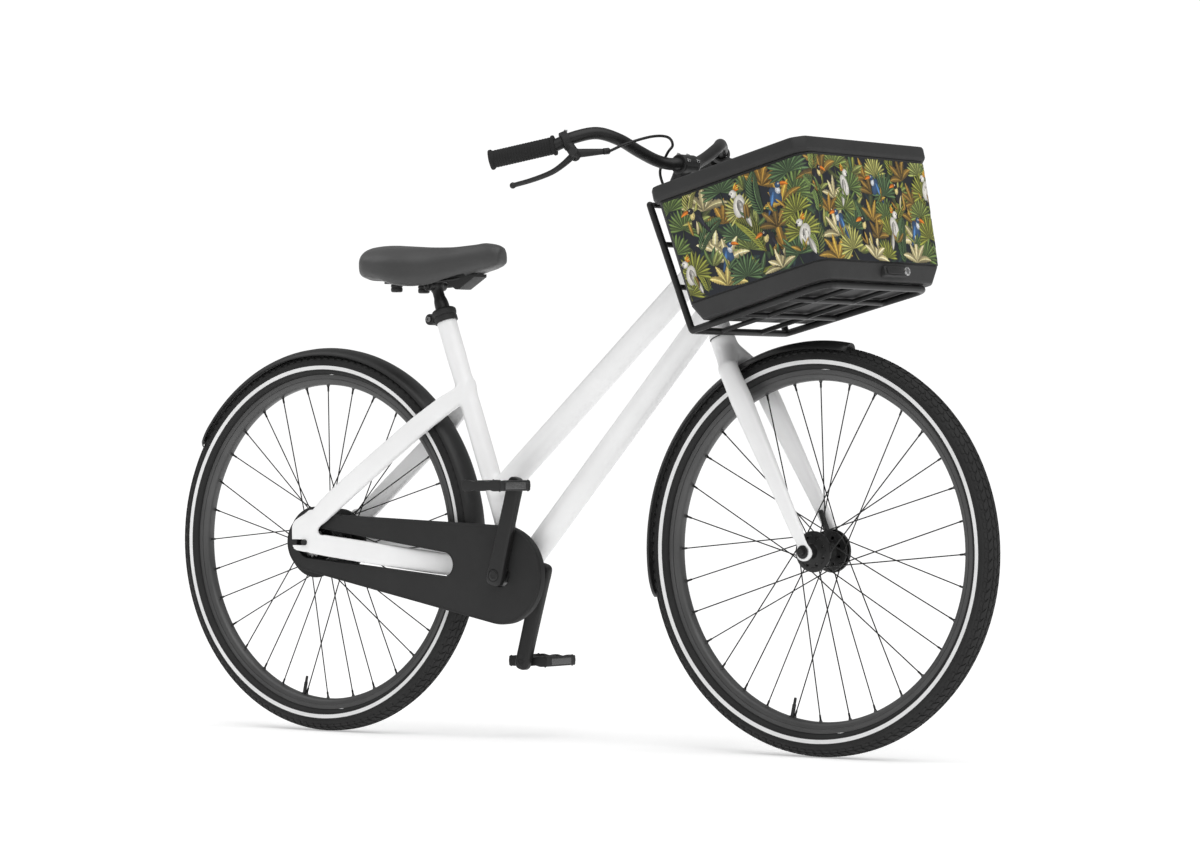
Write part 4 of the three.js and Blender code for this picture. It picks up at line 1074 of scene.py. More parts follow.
def chain_guard():
    body = plate("guard", belt(BB, 90.3, AXLE_LINE, 54.8), [], -58, -40, 3.2, 5)
    hollow = plate("hollow", belt(BB, 88.0, AXLE_LINE, 52.5), [], -55.4, -30, 1.0)
    wall = plate("wall", belt(SLOT_FRONT, 25, AXLE_LINE, 32.5), [], -90, -20, 0.0)
    combine(hollow, wall, "DIFFERENCE")
    slot = plate("slot", belt(SLOT_FRONT, 22.5, AXLE_LINE, 30), [], -90, -20, 0.0)
    crank_hole = lathe("hole", [(0, -40), (22, -40), (22, 40), (0, 40)], BB - LEFT * (60 * MM), LEFT, 48)
    seam = plate("seam", belt(BB, 93, AXLE_LINE, 58), [belt(BB, 89.3, AXLE_LINE, 53.8)], -54.2, -53.1, 0.0)
    cut(body, hollow, slot, crank_hole, seam)
    parts = [(body, GUARD_PLASTIC)]
    lip_outer, lip_inner = belt(BB, 89.6, AXLE_LINE, 54.1), belt(BB, 86.4, AXLE_LINE, 50.9)
    parts.append((plate("lip", lip_outer, [lip_inner], -58.6, -56.6, 0.8), GUARD_PLASTIC))
    slot_lip = plate("slot_lip", belt(SLOT_FRONT, 25.4, AXLE_LINE, 32.9), [belt(SLOT_FRONT, 22.6, AXLE_LINE, 30.1)],
                     -58.6, -56.6, 0.7)
    parts.append((slot_lip, GUARD_PLASTIC))
    return piece(assembled("chain_guard_cover", parts), "chain_guard_cover", "frame", None, ["chain_guard"])


def chain_guard_back():
    back = plate("back", belt(BB, 88.6, AXLE_LINE, 52.8), [], -39.6, -37.8, 0.5)
    disc = lathe("disc", [(0, -39.6), (66.4, -39.6), (67, -39.1), (67, -38.3), (66.4, -37.8), (0, -37.8)], AXLE_LINE, LEFT, 96)
    combine(back, disc, "UNION")
    slot = plate("slot", belt(SLOT_FRONT, 22.5, AXLE_LINE, 30), [], -60, -20, 0.0)
    spindle = lathe("hole", [(0, -60), (14, -60), (14, -20), (0, -20)], BB, LEFT, 40)
    cut(back, slot, spindle)
    return piece(back, "chain_guard_rear_face", "frame", GUARD_PLASTIC, ["chain_guard_back"])


def belt_points(front, front_radius, rear, rear_radius, pitch):
    """Points an even pitch apart round a belt."""
    loop = belt(front, front_radius, rear, rear_radius, 120)
    loop.append(loop[0])
    lengths = [0.0]
    for (ax, az), (bx, bz) in zip(loop, loop[1:]):
        lengths.append(lengths[-1] + math.hypot(bx - ax, bz - az))
    count = 2 * round(lengths[-1] / pitch / 2)
    xs, zs = zip(*loop)
    return [
        (np.interp(lengths[-1] * k / count, lengths, xs), np.interp(lengths[-1] * k / count, lengths, zs))
        for k in range(count)
    ]


def chain():
    pins = belt_points(BB, 76, AXLE_LINE, 36, 12.7)
    parts = []
    for k, (x, z) in enumerate(pins):
        x2, z2 = pins[(k + 1) % len(pins)]
        roller = [(0, -3.4), (3.8, -3.4), (3.8, 3.4), (0, 3.4)]
        at = mm(x, -48.5, z)
        parts.append((lathe("roller", roller, at, LEFT, 12), DRIVE_STEEL))
        heading = math.atan2(z2 - z, x2 - x)
        outline = arc(x2, z2, 3.6, heading - 1.5, heading + 1.5, 6) + arc(x, z, 3.6, heading + 1.64, heading + 4.64, 6)
        offset = 3.9 if k % 2 else 2.6
        for sign in (-1, 1):
            low, high = sorted((-48.5 + sign * (offset - 0.5), -48.5 + sign * (offset + 0.5)))
            parts.append((plate("link", outline, [], low, high, 0.15, 0), DRIVE_STEEL))
    return piece(assembled("roller_chain", parts), "roller_chain", "frame", None, ["chain"])


def toothed(name, hub, radius, teeth, y_from, y_to, bore, windows):
    outline = []
    for k in range(teeth * 8):
        turn = 2 * math.pi * k / (teeth * 8)
        r = radius - 2.2 + 2.2 * math.cos(teeth * turn)
        outline.append((hub.x / MM + r * math.cos(turn), hub.z / MM + r * math.sin(turn)))
    holes = [arc(hub.x / MM, hub.z / MM, bore, 0, 2 * math.pi * 31 / 32, 32)]
    for k in range(windows):
        turn = 2 * math.pi * k / windows
        far = radius * 0.58
        holes.append(arc(hub.x / MM + far * math.cos(turn), hub.z / MM + far * math.sin(turn), radius * 0.17,
                         0, 2 * math.pi * 23 / 24, 24))
    return plate(name, outline, holes, y_from, y_to, 0.5, 1)


chain_guard()
chain_guard_back()
chain()
ring = toothed("chainring_toothed", BB, 72, 36, -50, -47, 8.4, 5)
piece(ring, "chainring_toothed", "crankset", DRIVE_STEEL, ["chainring"])
sprocket = toothed("sprocket_teeth", REAR_AXLE, 29, 16, -50, -47, 6, 0)
carrier_sleeve = lathe("sleeve", [(5.6, -47.2), (20, -47.2), (20, -34), (19, -33.4), (5.6, -33.4)], REAR_AXLE, LEFT, 48)
sprocket = assembled("rear_sprocket_toothed", [(sprocket, DRIVE_STEEL), (carrier_sleeve, DRIVE_STEEL)])
piece(sprocket, "rear_sprocket_toothed", "sprocket", None, ["rear_sprocket"])


# ---------------------------------------------------------------- cranks and pedals
CRANK_LEAN = math.radians(75)
CRANK_Y = 69.3
PEDAL_Y = 126
CRANK_LENGTH = 170
CRANK_WAY = Vector((math.cos(CRANK_LEAN), 0, math.sin(CRANK_LEAN)))
CRANK_STATIONS = [
    (-19, 12, 10), (-17.5, 24, 14), (-12, 33, 17.4), (0, 35, 18), (14, 34, 18), (40, 33, 18), (80, 32, 17.5),
    (130, 31, 17), (155, 31, 17), (170, 30.5, 17), (178, 28, 16.8), (183, 20, 16), (184.8, 11, 13),
]


def crank(side, mirror):
    way = CRANK_WAY * -mirror
    across = Vector((way.z, 0, -way.x))
    section = ellipse(32, 4.0)
    sizes = smooth_path([Vector(s) for s in CRANK_STATIONS], 3)
    rings = []
    for reach, width, thickness in sizes:
        middle = BB + way * (reach * MM) + LEFT * (mirror * CRANK_Y * MM)
        rings.append([middle + LEFT * (a * thickness / 2 * MM) + across * (b * width / 2 * MM) for a, b in section])
    arm = loft("arm", rings, angle=50)
    eye = BB + way * (CRANK_LENGTH * MM)
    thread = lathe("thread", [(0, 40), (5.4, 40), (5.4, 95), (0, 95)], eye, LEFT * mirror, 32)
    spindle = lathe("spindle", [(0, 40), (8.4, 40), (8.4, 95), (0, 95)], BB, LEFT * mirror, 32)
    counterbore = lathe("bore", [(0, 76), (11.5, 76), (11.5, 95), (0, 95)], BB, LEFT * mirror, 40)
    cut(arm, thread, spindle, counterbore)
    name = f"{side}_crank_arm"
    return piece(arm, name, "crankset", BLACK_METAL, [f"{side}_crank"])


def spindle():
    parts = [(lathe("core", [(0, -75.8), (8, -75.8), (8, 75.8), (0, 75.8)], BB, LEFT, 40), BLACK_METAL)]
    for sign in (-1, 1):
        cap = [(0, 76.1), (10.6, 76.1), (11, 76.7), (10.4, 78.2), (7.2, 79.1), (6.2, 78.4), (5.6, 77.6), (0, 77.4)]
        parts.append((lathe("cap", cap, BB, LEFT * sign, 48), CABLE_SKIN))
    return piece(assembled("crank_spindle_and_caps", parts), "crank_spindle_and_caps", "crankset", None,
                 ["crank_spindle"])


def pedal(side, mirror):
    """A platform pedal: two toothed cage rails, a hub over the axle and a reflector at each end."""
    at = BB + CRANK_WAY * (-mirror * CRANK_LENGTH * MM)
    x, z = at.x / MM, at.z / MM
    parts = []
    cage = [(x - 45, z - 11), (x - 45, z + 11), (x + 45, z + 11), (x + 45, z - 11)]
    for y_from, y_to in ((80.5, 86), (162.5, 171.5)):
        low, high = sorted((mirror * y_from, mirror * y_to))
        rail = plate("rail", softened([
            (x - 44, z - 8), (x - 44, z + 8), (x - 30, z + 10.6), (x - 16, z + 6.5), (x, z + 10.6), (x + 16, z + 6.5),
            (x + 30, z + 10.6), (x + 44, z + 8), (x + 44, z - 8), (x + 30, z - 10.6), (x + 16, z - 6.5), (x, z - 10.6),
            (x - 16, z - 6.5), (x - 30, z - 10.6)], 2), [], low, high, 1.0)
        parts.append((rail, BLACK_PLASTIC))
    for sign in (-1, 1):
        points = [mm(x + sign * 40, mirror * y, z) for y in (82, PEDAL_Y, 170)]
        rings = []
        for p in spread(points, 12):
            rings.append([p + Vector((a * 4.2 * MM, 0, b * 9.4 * MM)) for a, b in ellipse(24, 5)])
        parts.append((loft("bar", rings), BLACK_PLASTIC))
        lens = [mm(x + sign * 44.2, mirror * y, z) for y in (96, PEDAL_Y, 156)]
        rings = []
        for p in spread(lens, 8):
            rings.append([p + Vector((a * 0.8 * MM, 0, b * 6.2 * MM)) for a, b in ellipse(24, 6)])
        parts.append((loft("lens", rings), SMOKED_LENS))
    body = [(0, 79.6), (8.5, 79.6), (9.5, 80.6), (9.5, 102), (8.2, 114), (8, 152), (9, 162), (9, 168), (0, 168)]
    parts.append((lathe("hub", body, Vector((at.x, 0, at.z)), LEFT * mirror, 40), BLACK_PLASTIC))
    for sign in (-1, 1):
        rings = []
        for p in spread([mm(x + sign * 7, mirror * PEDAL_Y, z), mm(x + sign * 38, mirror * PEDAL_Y, z)], 6):
            rings.append([p + Vector((0, a * 6 * MM, b * 7 * MM)) for a, b in ellipse(20, 4)])
        parts.append((loft("rib", rings), BLACK_PLASTIC))
    stub = [(0, 61), (4.8, 61), (5, 61.4), (5, 78), (8, 78.2), (8, 79.4), (0, 79.4)]
    parts.append((lathe("stub", stub, Vector((at.x, 0, at.z)), LEFT * mirror, 32), BLACK_METAL))
    for corner_x, corner_z in cage:
        for y in (83.2, 166):
            pin = [(0, 0), (2.1, 0), (1.5, 2.4), (0, 2.6)]
            lift = UP if corner_z > z else -UP
            inside = Vector(((x + (corner_x - x) * 0.88) * MM, mirror * y * MM, (z + (corner_z - z) * 0.74) * MM))
            parts.append((lathe("pin", pin, inside, lift, 10), BLACK_METAL))
    return piece(assembled(f"{side}_platform_pedal", parts), f"{side}_platform_pedal", f"{side}_pedal", None,
                 [f"{side}_pedal"])


crank("right", -1)
crank("left", 1)
spindle()
pedal("right", -1)
pedal("left", 1)


# ---------------------------------------------------------------- side stand
STAND_PIVOT = mm(-235, 47, 276)
STAND_RISE = math.radians(6)
STAND_WAY = Vector((-math.cos(STAND_RISE), 0, math.sin(STAND_RISE)))
STAND_DOWN = Vector((-0.05, 0.35, -0.935)).normalized()
STAND_AXIS = STAND_WAY.cross(STAND_DOWN).normalized()


def stand():
    hub = lathe("hub", [(0, -7), (11.6, -7), (12.4, -6.2), (12.4, 6.2), (11.6, 7), (0, 7)], STAND_PIVOT, STAND_AXIS, 40)
    shaft = rod("shaft", STAND_PIVOT, STAND_PIVOT + STAND_WAY * (252 * MM), 6.8, 6.0, 32)
    combine(hub, shaft, "UNION")
    bolt = [(0, 6.8), (5.4, 6.8), (5.8, 7.3), (5.8, 9.2), (5, 10), (2.6, 10), (2.6, 8.6), (0, 8.6)]
    parts = [(shade(hub), BLACK_METAL)]
    parts.append((lathe("bolt", bolt, STAND_PIVOT, -STAND_AXIS, 6), LOCK_METAL))
    foot = [(0, 246), (6.6, 246), (8.4, 248), (9, 251)]
    for k in range(4):
        foot += [(9, 253 + 4 * k), (8.2, 253.6 + 4 * k), (8.2, 255.4 + 4 * k), (9, 256 + 4 * k)]
    foot += [(9, 270), (7.6, 272), (0, 272)]
    parts.append((lathe("foot", foot, STAND_PIVOT, STAND_WAY, 40), GRIP_RUBBER))
    return piece(assembled("side_stand_leg", parts), "side_stand_leg", "stand", None, ["stand_leg"])


def stand_mount():
    block = mm(STAND_PIVOT.x / MM, 34, STAND_PIVOT.z / MM + 5)
    rings = []
    for dx in (-18, -17.2, 17.2, 18):
        ease = 0.93 if abs(dx) > 17.5 else 1.0
        at = block + Vector((dx * MM, 0, 0))
        rings.append([at + Vector((0, a * 5.5 * ease * MM, b * 19 * ease * MM)) for a, b in ellipse(32, 7)])
    body = loft("block", rings)
    room = lathe("room", [(0, -7.3), (13.4, -7.3), (13.4, 30), (0, 30)], STAND_PIVOT, -STAND_AXIS, 40)
    combine(body, room, "DIFFERENCE")
    stay_room = stay("room", [(x, y, z, t + 0.7, h + 0.7) for x, y, z, t, h in CHAINSTAY], 1)
    combine(body, stay_room, "DIFFERENCE")
    return piece(shade(body), "side_stand_mount", "frame", BLACK_METAL, ["stand_mount"])


stand()
stand_mount()


# ---------------------------------------------------------------- fork
BLADE_TOP = (388, 43, 686)
BLADE_END = (553, 55, 379)
BLADE = [
    (0, 38, 27), (60, 40, 27), (130, 36.5, 24), (200, 32, 20), (265, 28, 16), (330, 25, 12.5), (362, 24, 8.5),
]


def fork():
    parts = [
        rod("neck", on_steerer(-36), on_steerer(12), 23, sides=64, edge=6),
    ]
    joints = [(on_steerer(-22), 66)]
    for mirror in (-1, 1):
        top, end = mm(BLADE_TOP[0], mirror * BLADE_TOP[1], BLADE_TOP[2]), mm(BLADE_END[0], mirror * BLADE_END[1], BLADE_END[2])
        way = (end - top).normalized()
        across = Vector((-way.z, 0, way.x)).normalized()
        rings = []
        for reach, width, thickness in smooth_path([Vector(s) for s in BLADE], 5):
            middle = top + way * (reach * MM)
            rings.append([middle + across * (a * width / 2 * MM) + LEFT * (b * thickness / 2 * MM)
                          for a, b in ellipse(32, 2.7)])
        parts.append(loft("blade", rings))
        knuckle = top + way * (16 * MM)
        parts.append(rod("shoulder", on_steerer(-18), knuckle, 22, 17, sides=48, edge=5))
        low, high = sorted((mirror * 50.6, mirror * 59))
        eye = arc(FRONT_AXLE.x / MM, FRONT_AXLE.z / MM, 16, 0, 2 * math.pi * 47 / 48, 48)
        parts.append(plate("eye", eye, [], low, high, 1.5))
        joints += [(knuckle, 58), (end + way * (8 * MM), 26)]
    skin = weld("fork_skin", parts, 1.9, joints, 46)
    tools = [
        lathe("end", [(0, 6.5), (60, 6.5), (60, 40), (0, 40)], LOWER_RACE, STEER_AXIS, 48),
        lathe("wheel_room", [(0, -28.4), (370.6, -28.4), (370.6, 28.4), (0, 28.4)], FRONT_AXLE, LEFT, 160),
        lathe("bore", [(0, -90), (5.2, -90), (5.2, 90), (0, 90)], FRONT_AXLE, LEFT, 32),
    ]
    for mirror in (-1, 1):
        recess = [(0, 57.4), (11.8, 57.4), (12.2, 58), (12.2, 80), (0, 80)]
        tools.append(lathe("recess", recess, FRONT_AXLE, LEFT * mirror, 48))
    cut(skin, *tools)
    steerer = lathe("steerer", [(0, 6.4), (13, 6.4), (13, 216), (12, 217), (0, 217)], LOWER_RACE, STEER_AXIS, 48)
    race = lathe("race", [(13.2, 5.4), (22.6, 5.4), (23, 5.8), (23, 6.3), (22.6, 6.6), (13.2, 6.6)], LOWER_RACE, STEER_AXIS, 64)
    obj = assembled("fork_skin", [(skin, WHITE_PAINT), (steerer, BLACK_METAL), (race, BLACK_METAL)])
    return piece(obj, "fork_skin", "steering", None, ["fork"])


fork()


# ---------------------------------------------------------------- stem and handlebar
STEM_CLAMP = mm(270, 0, 1042)
BAR_HALF = [
    (270, -27, 1042), (261, -41, 1042), (249, -64, 1048), (242, -105, 1062), (233, -150, 1080), (214, -188, 1090),
    (192, -224, 1082), (168, -247, 1068),
]
GRIP_OUTER = (65, -300, 1043)


def stem():
    cap = [
        (13.4, 205.4), (23.6, 205.4), (24.6, 206.2), (25, 208), (24.6, 212), (22.4, 215.6), (18.4, 217.6), (15.2, 218.4),
        (0, 218.4), (0, 217.4), (13.4, 217.4),
    ]
    post = [(0, 217.4), (15, 217.4), (15, 294), (14.2, 300), (11, 303), (0, 303)]
    body = lathe("cap", [p for p in cap if p[0] > 0], LOWER_RACE, STEER_AXIS, 64)
    pillar = lathe("post", post, LOWER_RACE, STEER_AXIS, 64)
    arm = tube("arm", [on_steerer(284), (on_steerer(284) + STEM_CLAMP) / 2, STEM_CLAMP], [16.5, 15.6, 16.4], 32)
    clamp = [(0, -22), (16.6, -22), (17.8, -20.8), (17.8, 20.8), (16.6, 22), (0, 22)]
    skin = weld("stem_skin", [pillar, arm, lathe("clamp", clamp, STEM_CLAMP, LEFT, 48)], 1.4,
                [(on_steerer(288), 26), (STEM_CLAMP, 24)], 16, 6)
    grip_room = lathe("room", [(0, -60), (11.6, -60), (11.6, 60), (0, 60)], STEM_CLAMP, LEFT, 48)
    split_way = (STEM_CLAMP - on_steerer(284)).normalized()
    cut(skin, grip_room)
    parts = [(body, BLACK_METAL), (skin, BLACK_METAL)]
    ring = [(15.2, 224), (16.8, 224), (17, 224.6), (17, 229.4), (16.8, 230), (15.2, 230)]
    parts.append((lathe("ring", ring, LOWER_RACE, STEER_AXIS, 48), BLACK_METAL))
    for y in (-14, 14):
        for lift in (-12.2, 12.2):
            upward = Vector((-split_way.z, 0, split_way.x))
            at = STEM_CLAMP + upward * (lift * MM) + LEFT * (y * MM) + split_way * (11.5 * MM)
            bolt = [(0, 0), (3.6, 0), (3.8, 0.4), (3.8, 3.6), (3.4, 4.2), (1.9, 4.2), (1.9, 2.6), (0, 2.6)]
            parts.append((lathe("bolt", bolt, at, split_way, 20), LOCK_METAL))
    return piece(assembled("stem_and_clamp", parts), "stem_and_clamp", "steering", None, ["stem"])


def handlebar():
    inner, outer = mm(*BAR_HALF[-1]), mm(*GRIP_OUTER)
    way = (outer - inner).normalized()
    half = [mm(270, -10, 1042)] + [mm(*p) for p in BAR_HALF] + [inner + way * (d * MM) for d in (10, 60, 112)]
    whole = [p for p in reversed(half)] + [Vector((p.x, -p.y, p.z)) for p in half]
    bar = tube("bar", whole, 11, 32, 10)
    return piece(bar, "handlebar_tube", "steering", BLACK_METAL, ["handlebar"])


def grip(side, mirror):
    """A rubber grip with rows of shallow ribs between its two collars."""
    inner, outer = mm(*BAR_HALF[-1]), mm(*GRIP_OUTER)
    way = (outer - inner).normalized()
    start = inner + way * (1 * MM)
    outline = [(11.7, 0), (17.2, 0), (18, 0.8), (18, 4.4), (17.2, 5.2), (15.6, 6.4)]
    for k in range(20):
        at = 8 + 5.1 * k
        outline += [(15.1, at), (15.6, at + 0.7), (15.6, at + 3.4), (15.1, at + 4.1)]
    outline += [(15.2, 111), (16.6, 113), (17.8, 114.2), (18, 115), (18, 118), (17.2, 119.2), (13, 120), (0, 120)]
    outline += [(0, 116.4), (11.7, 116.4)]
    obj = lathe("grip", outline, start, way, 72, 30)
    if mirror > 0:
        flipped = mirrored(obj, "grip")
        bpy.data.objects.remove(obj)
        obj = flipped
        shade(obj, 30)
    return piece(obj, f"{side}_rubber_grip", "steering", GRIP_RUBBER, [f"{side}_grip"])


LEVER_PIVOT = mm(207, -246, 1050)
LEVER_AXIS = Vector((-0.29, 0.841, -0.456)).normalized()
LEVER_SWING = math.radians(14)
LEVER_KNEE = mm(176, -272, 1018)
LEVER_TIP = mm(118, -306, 996)
LEVER_CABLE = mm(234, -202, 1056)
CABLE_WAY = Vector((0.54, 0.83, 0.12)).normalized()


def lever_room():
    rooms = [lathe("room", [(0, -9.2), (8.4, -9.2), (8.4, 9.2), (0, 9.2)], LEVER_PIVOT, LEVER_AXIS, 32)]
    for share in (0, 0.5, 1):
        reach = Matrix.Rotation(LEVER_SWING * share, 3, LEVER_AXIS) @ (LEVER_KNEE - LEVER_PIVOT)
        rooms.append(rod("room", LEVER_PIVOT, LEVER_PIVOT + reach, 8.2, sides=24))
    return rooms


def lever_bracket():
    clamp_centre = mm(180.6, -236, 1075.6)
    bar_way = (mm(168, -247, 1068) - mm(192, -224, 1082)).normalized()
    ring = [(0, -7), (16, -7), (17, -6), (17, 6), (16, 7), (0, 7)]
    joint = mm(203, -240, 1052)
    parts = [
        lathe("ring", ring, clamp_centre, bar_way, 48),
        rod("arm", clamp_centre, joint, 9, 9, 32, 2),
        rod("yoke", joint, LEVER_CABLE + CABLE_WAY * (4 * MM), 8.4, 5.2, 32, 2),
        rod("hub", LEVER_PIVOT - LEVER_AXIS * (11 * MM), LEVER_PIVOT + LEVER_AXIS * (11 * MM), 8.6, sides=32),
    ]
    skin = weld("bracket", parts, 1.0, [(joint, 20), (clamp_centre, 24)], 10, 6)
    bar_room = lathe("room", [(0, -40), (12.4, -40), (12.4, 40), (0, 40)], clamp_centre, bar_way, 40)
    grip_room = rod("room", mm(169, -247.5, 1068.2), mm(100, -283, 1050), 19.6, sides=40)
    cut(skin, bar_room, grip_room, *lever_room())
    barrel = [
        (0, 3), (5.4, 3), (5.8, 3.6), (5.8, 6), (5.2, 6.4), (5.2, 7.2), (5.8, 7.6), (5.8, 9.4), (5.2, 9.8), (5.2, 10.6),
        (5.8, 11), (5.8, 13), (4.4, 15), (0, 15),
    ]
    parts = [(skin, BLACK_PLASTIC), (lathe("barrel", barrel, LEVER_CABLE, CABLE_WAY, 32), BLACK_METAL)]
    bolt = [(0, 0), (3.0, 0), (3.2, 0.4), (3.2, 3), (2.8, 3.6), (1.6, 3.6), (1.6, 2.4), (0, 2.4)]
    parts.append((lathe("bolt", bolt, clamp_centre + UP * (15.6 * MM), UP, 20), LOCK_METAL))
    return assembled("bracket", parts)


def lever_blade():
    """A flat, finger-shaped blade that curls forward at its tip."""
    path = smooth_path([LEVER_PIVOT, (LEVER_PIVOT + LEVER_KNEE) / 2 + mm(1.5, 0, -1.5), LEVER_KNEE,
                        (LEVER_KNEE + LEVER_TIP) / 2 + mm(1, 0, -1.5), LEVER_TIP], 8)
    widths = spread([6.4, 6.0, 5.6, 5.4, 5.0, 4.8], len(path))
    flats = spread([5.6, 4.4, 3.8, 3.5, 3.4, 3.4], len(path))
    rings = []
    for p, (side, up), wide, flat in zip(path, frames_along(path, LEVER_AXIS), widths, flats):
        rings.append([p + side * (a * flat * MM) + up * (b * wide * MM) for a, b in ellipse(24, 3)])
    parts = [loft("blade", rings), ball("tip", LEVER_TIP, 5.9, 1, UP, 24)]
    hub = [(0, -8), (6.4, -8), (7, -7.4), (7, 7.4), (6.4, 8), (0, 8)]
    parts.append(lathe("hub", hub, LEVER_PIVOT, LEVER_AXIS, 32))
    return weld("lever", parts, 0.9, [(LEVER_PIVOT, 14), (LEVER_TIP, 10)], 8, 6)


def brake_levers():
    bracket = lever_bracket()
    blade = lever_blade()
    shade(blade, 60)
    for side, obj, kind in (("left", mirrored(bracket, "b"), "bracket"), ("right", bracket, "bracket")):
        piece(obj, f"{side}_lever_clamp", "steering", None, [f"{side}_lever_{kind}"])
    for side, obj in (("left", mirrored(blade, "l")), ("right", blade)):
        piece(obj, f"{side}_lever_blade", f"{side}_lever", BLACK_METAL, [f"{side}_lever"])


CABLE_END = [(259, -20.5, 958), (270.2, -20, 930.4)]
CABLES = {
    "right": [(262, -166, 1071), (283, -120, 1085), (287, -78, 1086), (276, -48, 1074), (256, -37, 1060),
              (237, -32, 1027), (248, -23, 985)],
    "left": [(252, -160, 1060), (248, -120, 1044), (241, -80, 1030), (238, -48, 1014), (243, -28, 996)],
}


def cables():
    """The right cable loops over the bar, the left one runs below it."""
    start = LEVER_CABLE + CABLE_WAY * (16.2 * MM)
    for side, route in CABLES.items():
        points = [start] + [mm(*p) for p in route + CABLE_END]
        if side == "left":
            points = [Vector((p.x, -p.y, p.z)) for p in points]
        obj = tube("cable", points, 2.5, 14, 10)
        piece(shade(obj), f"{side}_cable_housing", "steering", CABLE_SKIN, [f"{side}_brake_cable"])


stem()
handlebar()
grip("right", -1)
grip("left", 1)
brake_levers()
cables()


# ---------------------------------------------------------------- carrier
CRATE_TILT = math.radians(14.5)
TILT_COS, TILT_SIN = math.cos(CRATE_TILT), math.sin(CRATE_TILT)
CARRIER_BACK = (387.6, 742)
CRATE_BASE = mm(559, 0, 793)


def on_carrier(distance, y, rise=0.0):
    x = CARRIER_BACK[0] + distance * TILT_COS - rise * TILT_SIN
    return mm(x, y, CARRIER_BACK[1] + distance * TILT_SIN + rise * TILT_COS)


def rounded_corner(before, corner, after, reach, count=6):
    """Points that turn a corner between two lines."""
    a = corner + (before - corner).normalized() * (reach * MM)
    b = corner + (after - corner).normalized() * (reach * MM)
    return [a.lerp(corner, t).lerp(corner.lerp(b, t), t) for t in [k / (count - 1) for k in range(count)]]


def bent(name, corners, radius, reach, sides=20):
    """A tube along straight lines with bent corners."""
    path = [corners[0]]
    for before, corner, after in zip(corners, corners[1:], corners[2:]):
        path += rounded_corner(before, corner, after, reach)
    return tube(name, path + [corners[-1]], radius, sides, 1, 60)


BACK_RISE = (-75.6, 220)
BACK_HALF = (145, 166)
RUNGS = (0.345, 0.685, 1)


def on_back(share, y):
    return mm(CARRIER_BACK[0] + BACK_RISE[0] * share, y, CARRIER_BACK[1] + BACK_RISE[1] * share)


def carrier():
    rear_half, front_half, length = BACK_HALF[0], 164, 297
    hoop = bent("hoop", [
        on_carrier(0, -rear_half), on_carrier(length, -front_half), on_carrier(length, front_half),
        on_carrier(0, rear_half)], 6.3, 30)
    parts = [hoop, bent("back", [
        on_back(1, -166), on_back(0, -rear_half), on_back(0, rear_half), on_back(1, 166)], 6.3, 3)]
    for distance, half in ((105, 151), (205, 157)):
        parts.append(rod("bar", on_carrier(distance, -half), on_carrier(distance, half), 5, sides=20))
    for y in (-60, 60):
        parts.append(rod("strut", on_carrier(0, y), on_carrier(length, y), 4.5, sides=16))
    for share in RUNGS:
        half = rear_half + share * (BACK_HALF[1] - rear_half)
        parts.append(rod("rung", on_back(share, -half), on_back(share, half), 5, sides=20))
    for side in (-1, 1):
        parts.append(ball("end", on_back(1, side * BACK_HALF[1]), 6.4))
    skin = weld("carrier_skin", parts, 1.7, [(on_back(s, y * (145 + 21 * s)), 16) for s in (0, *RUNGS) for y in (-1, 1)], 6, 6)
    room = lathe("room", [(0, -40), (21.4, -40), (21.4, 260), (0, 260)], LOWER_RACE, STEER_AXIS, 48)
    cut(skin, room)
    return piece(shade(skin, 70), "carrier_tubes", "frame", BLACK_METAL, ["carrier"])


def carrier_bracket(name, height, share):
    root = on_steerer(height)
    rung = on_back(share, 0)
    way = (rung - root).normalized()
    tip = rung - way * (5.4 * MM)
    across = way.cross(LEFT)
    rings = []
    for t in (0, 0.08, 0.35, 0.7, 0.95, 1):
        at = root.lerp(tip, t)
        wide = 20 - 3.5 * math.sin(math.pi * t)
        rings.append([at + LEFT * (a * wide * MM) + across * (b * 4.8 * MM) for a, b in ellipse(32, 6)])
    arm = loft("arm", rings)
    room = lathe("room", [(0, -60), (21.4, -60), (21.4, 300), (0, 300)], LOWER_RACE, STEER_AXIS, 64)
    cut(arm, room)
    parts = [(arm, BLACK_METAL)]
    for y in (-11, 11):
        bolt = [(0, 0), (3.8, 0), (4, 0.4), (4, 1.6), (0, 1.8)]
        parts.append((lathe("bolt", bolt, root.lerp(tip, 0.72) + LEFT * (y * MM) + across * (4.6 * MM), across, 20), LOCK_METAL))
    return piece(assembled(name, parts), name, "frame", None, [f"carrier_bracket_{name.split('_')[0]}"])


carrier()
carrier_bracket("lower_carrier_bracket", 70, RUNGS[0])
carrier_bracket("upper_carrier_bracket", 158, RUNGS[1])


# ---------------------------------------------------------------- crate
# Heights above the crate's floor, centre x, half length and half width.
CRATE_HULL = [(0.6, -4, 135.5, 180), (28, -4, 146.5, 192), (216.7, -6.7, 162, 197)]
CHAMFER_SHARE = 0.1


def in_crate(x, y, height):
    return CRATE_BASE + Vector((x * TILT_COS - height * TILT_SIN, y, x * TILT_SIN + height * TILT_COS)) * MM


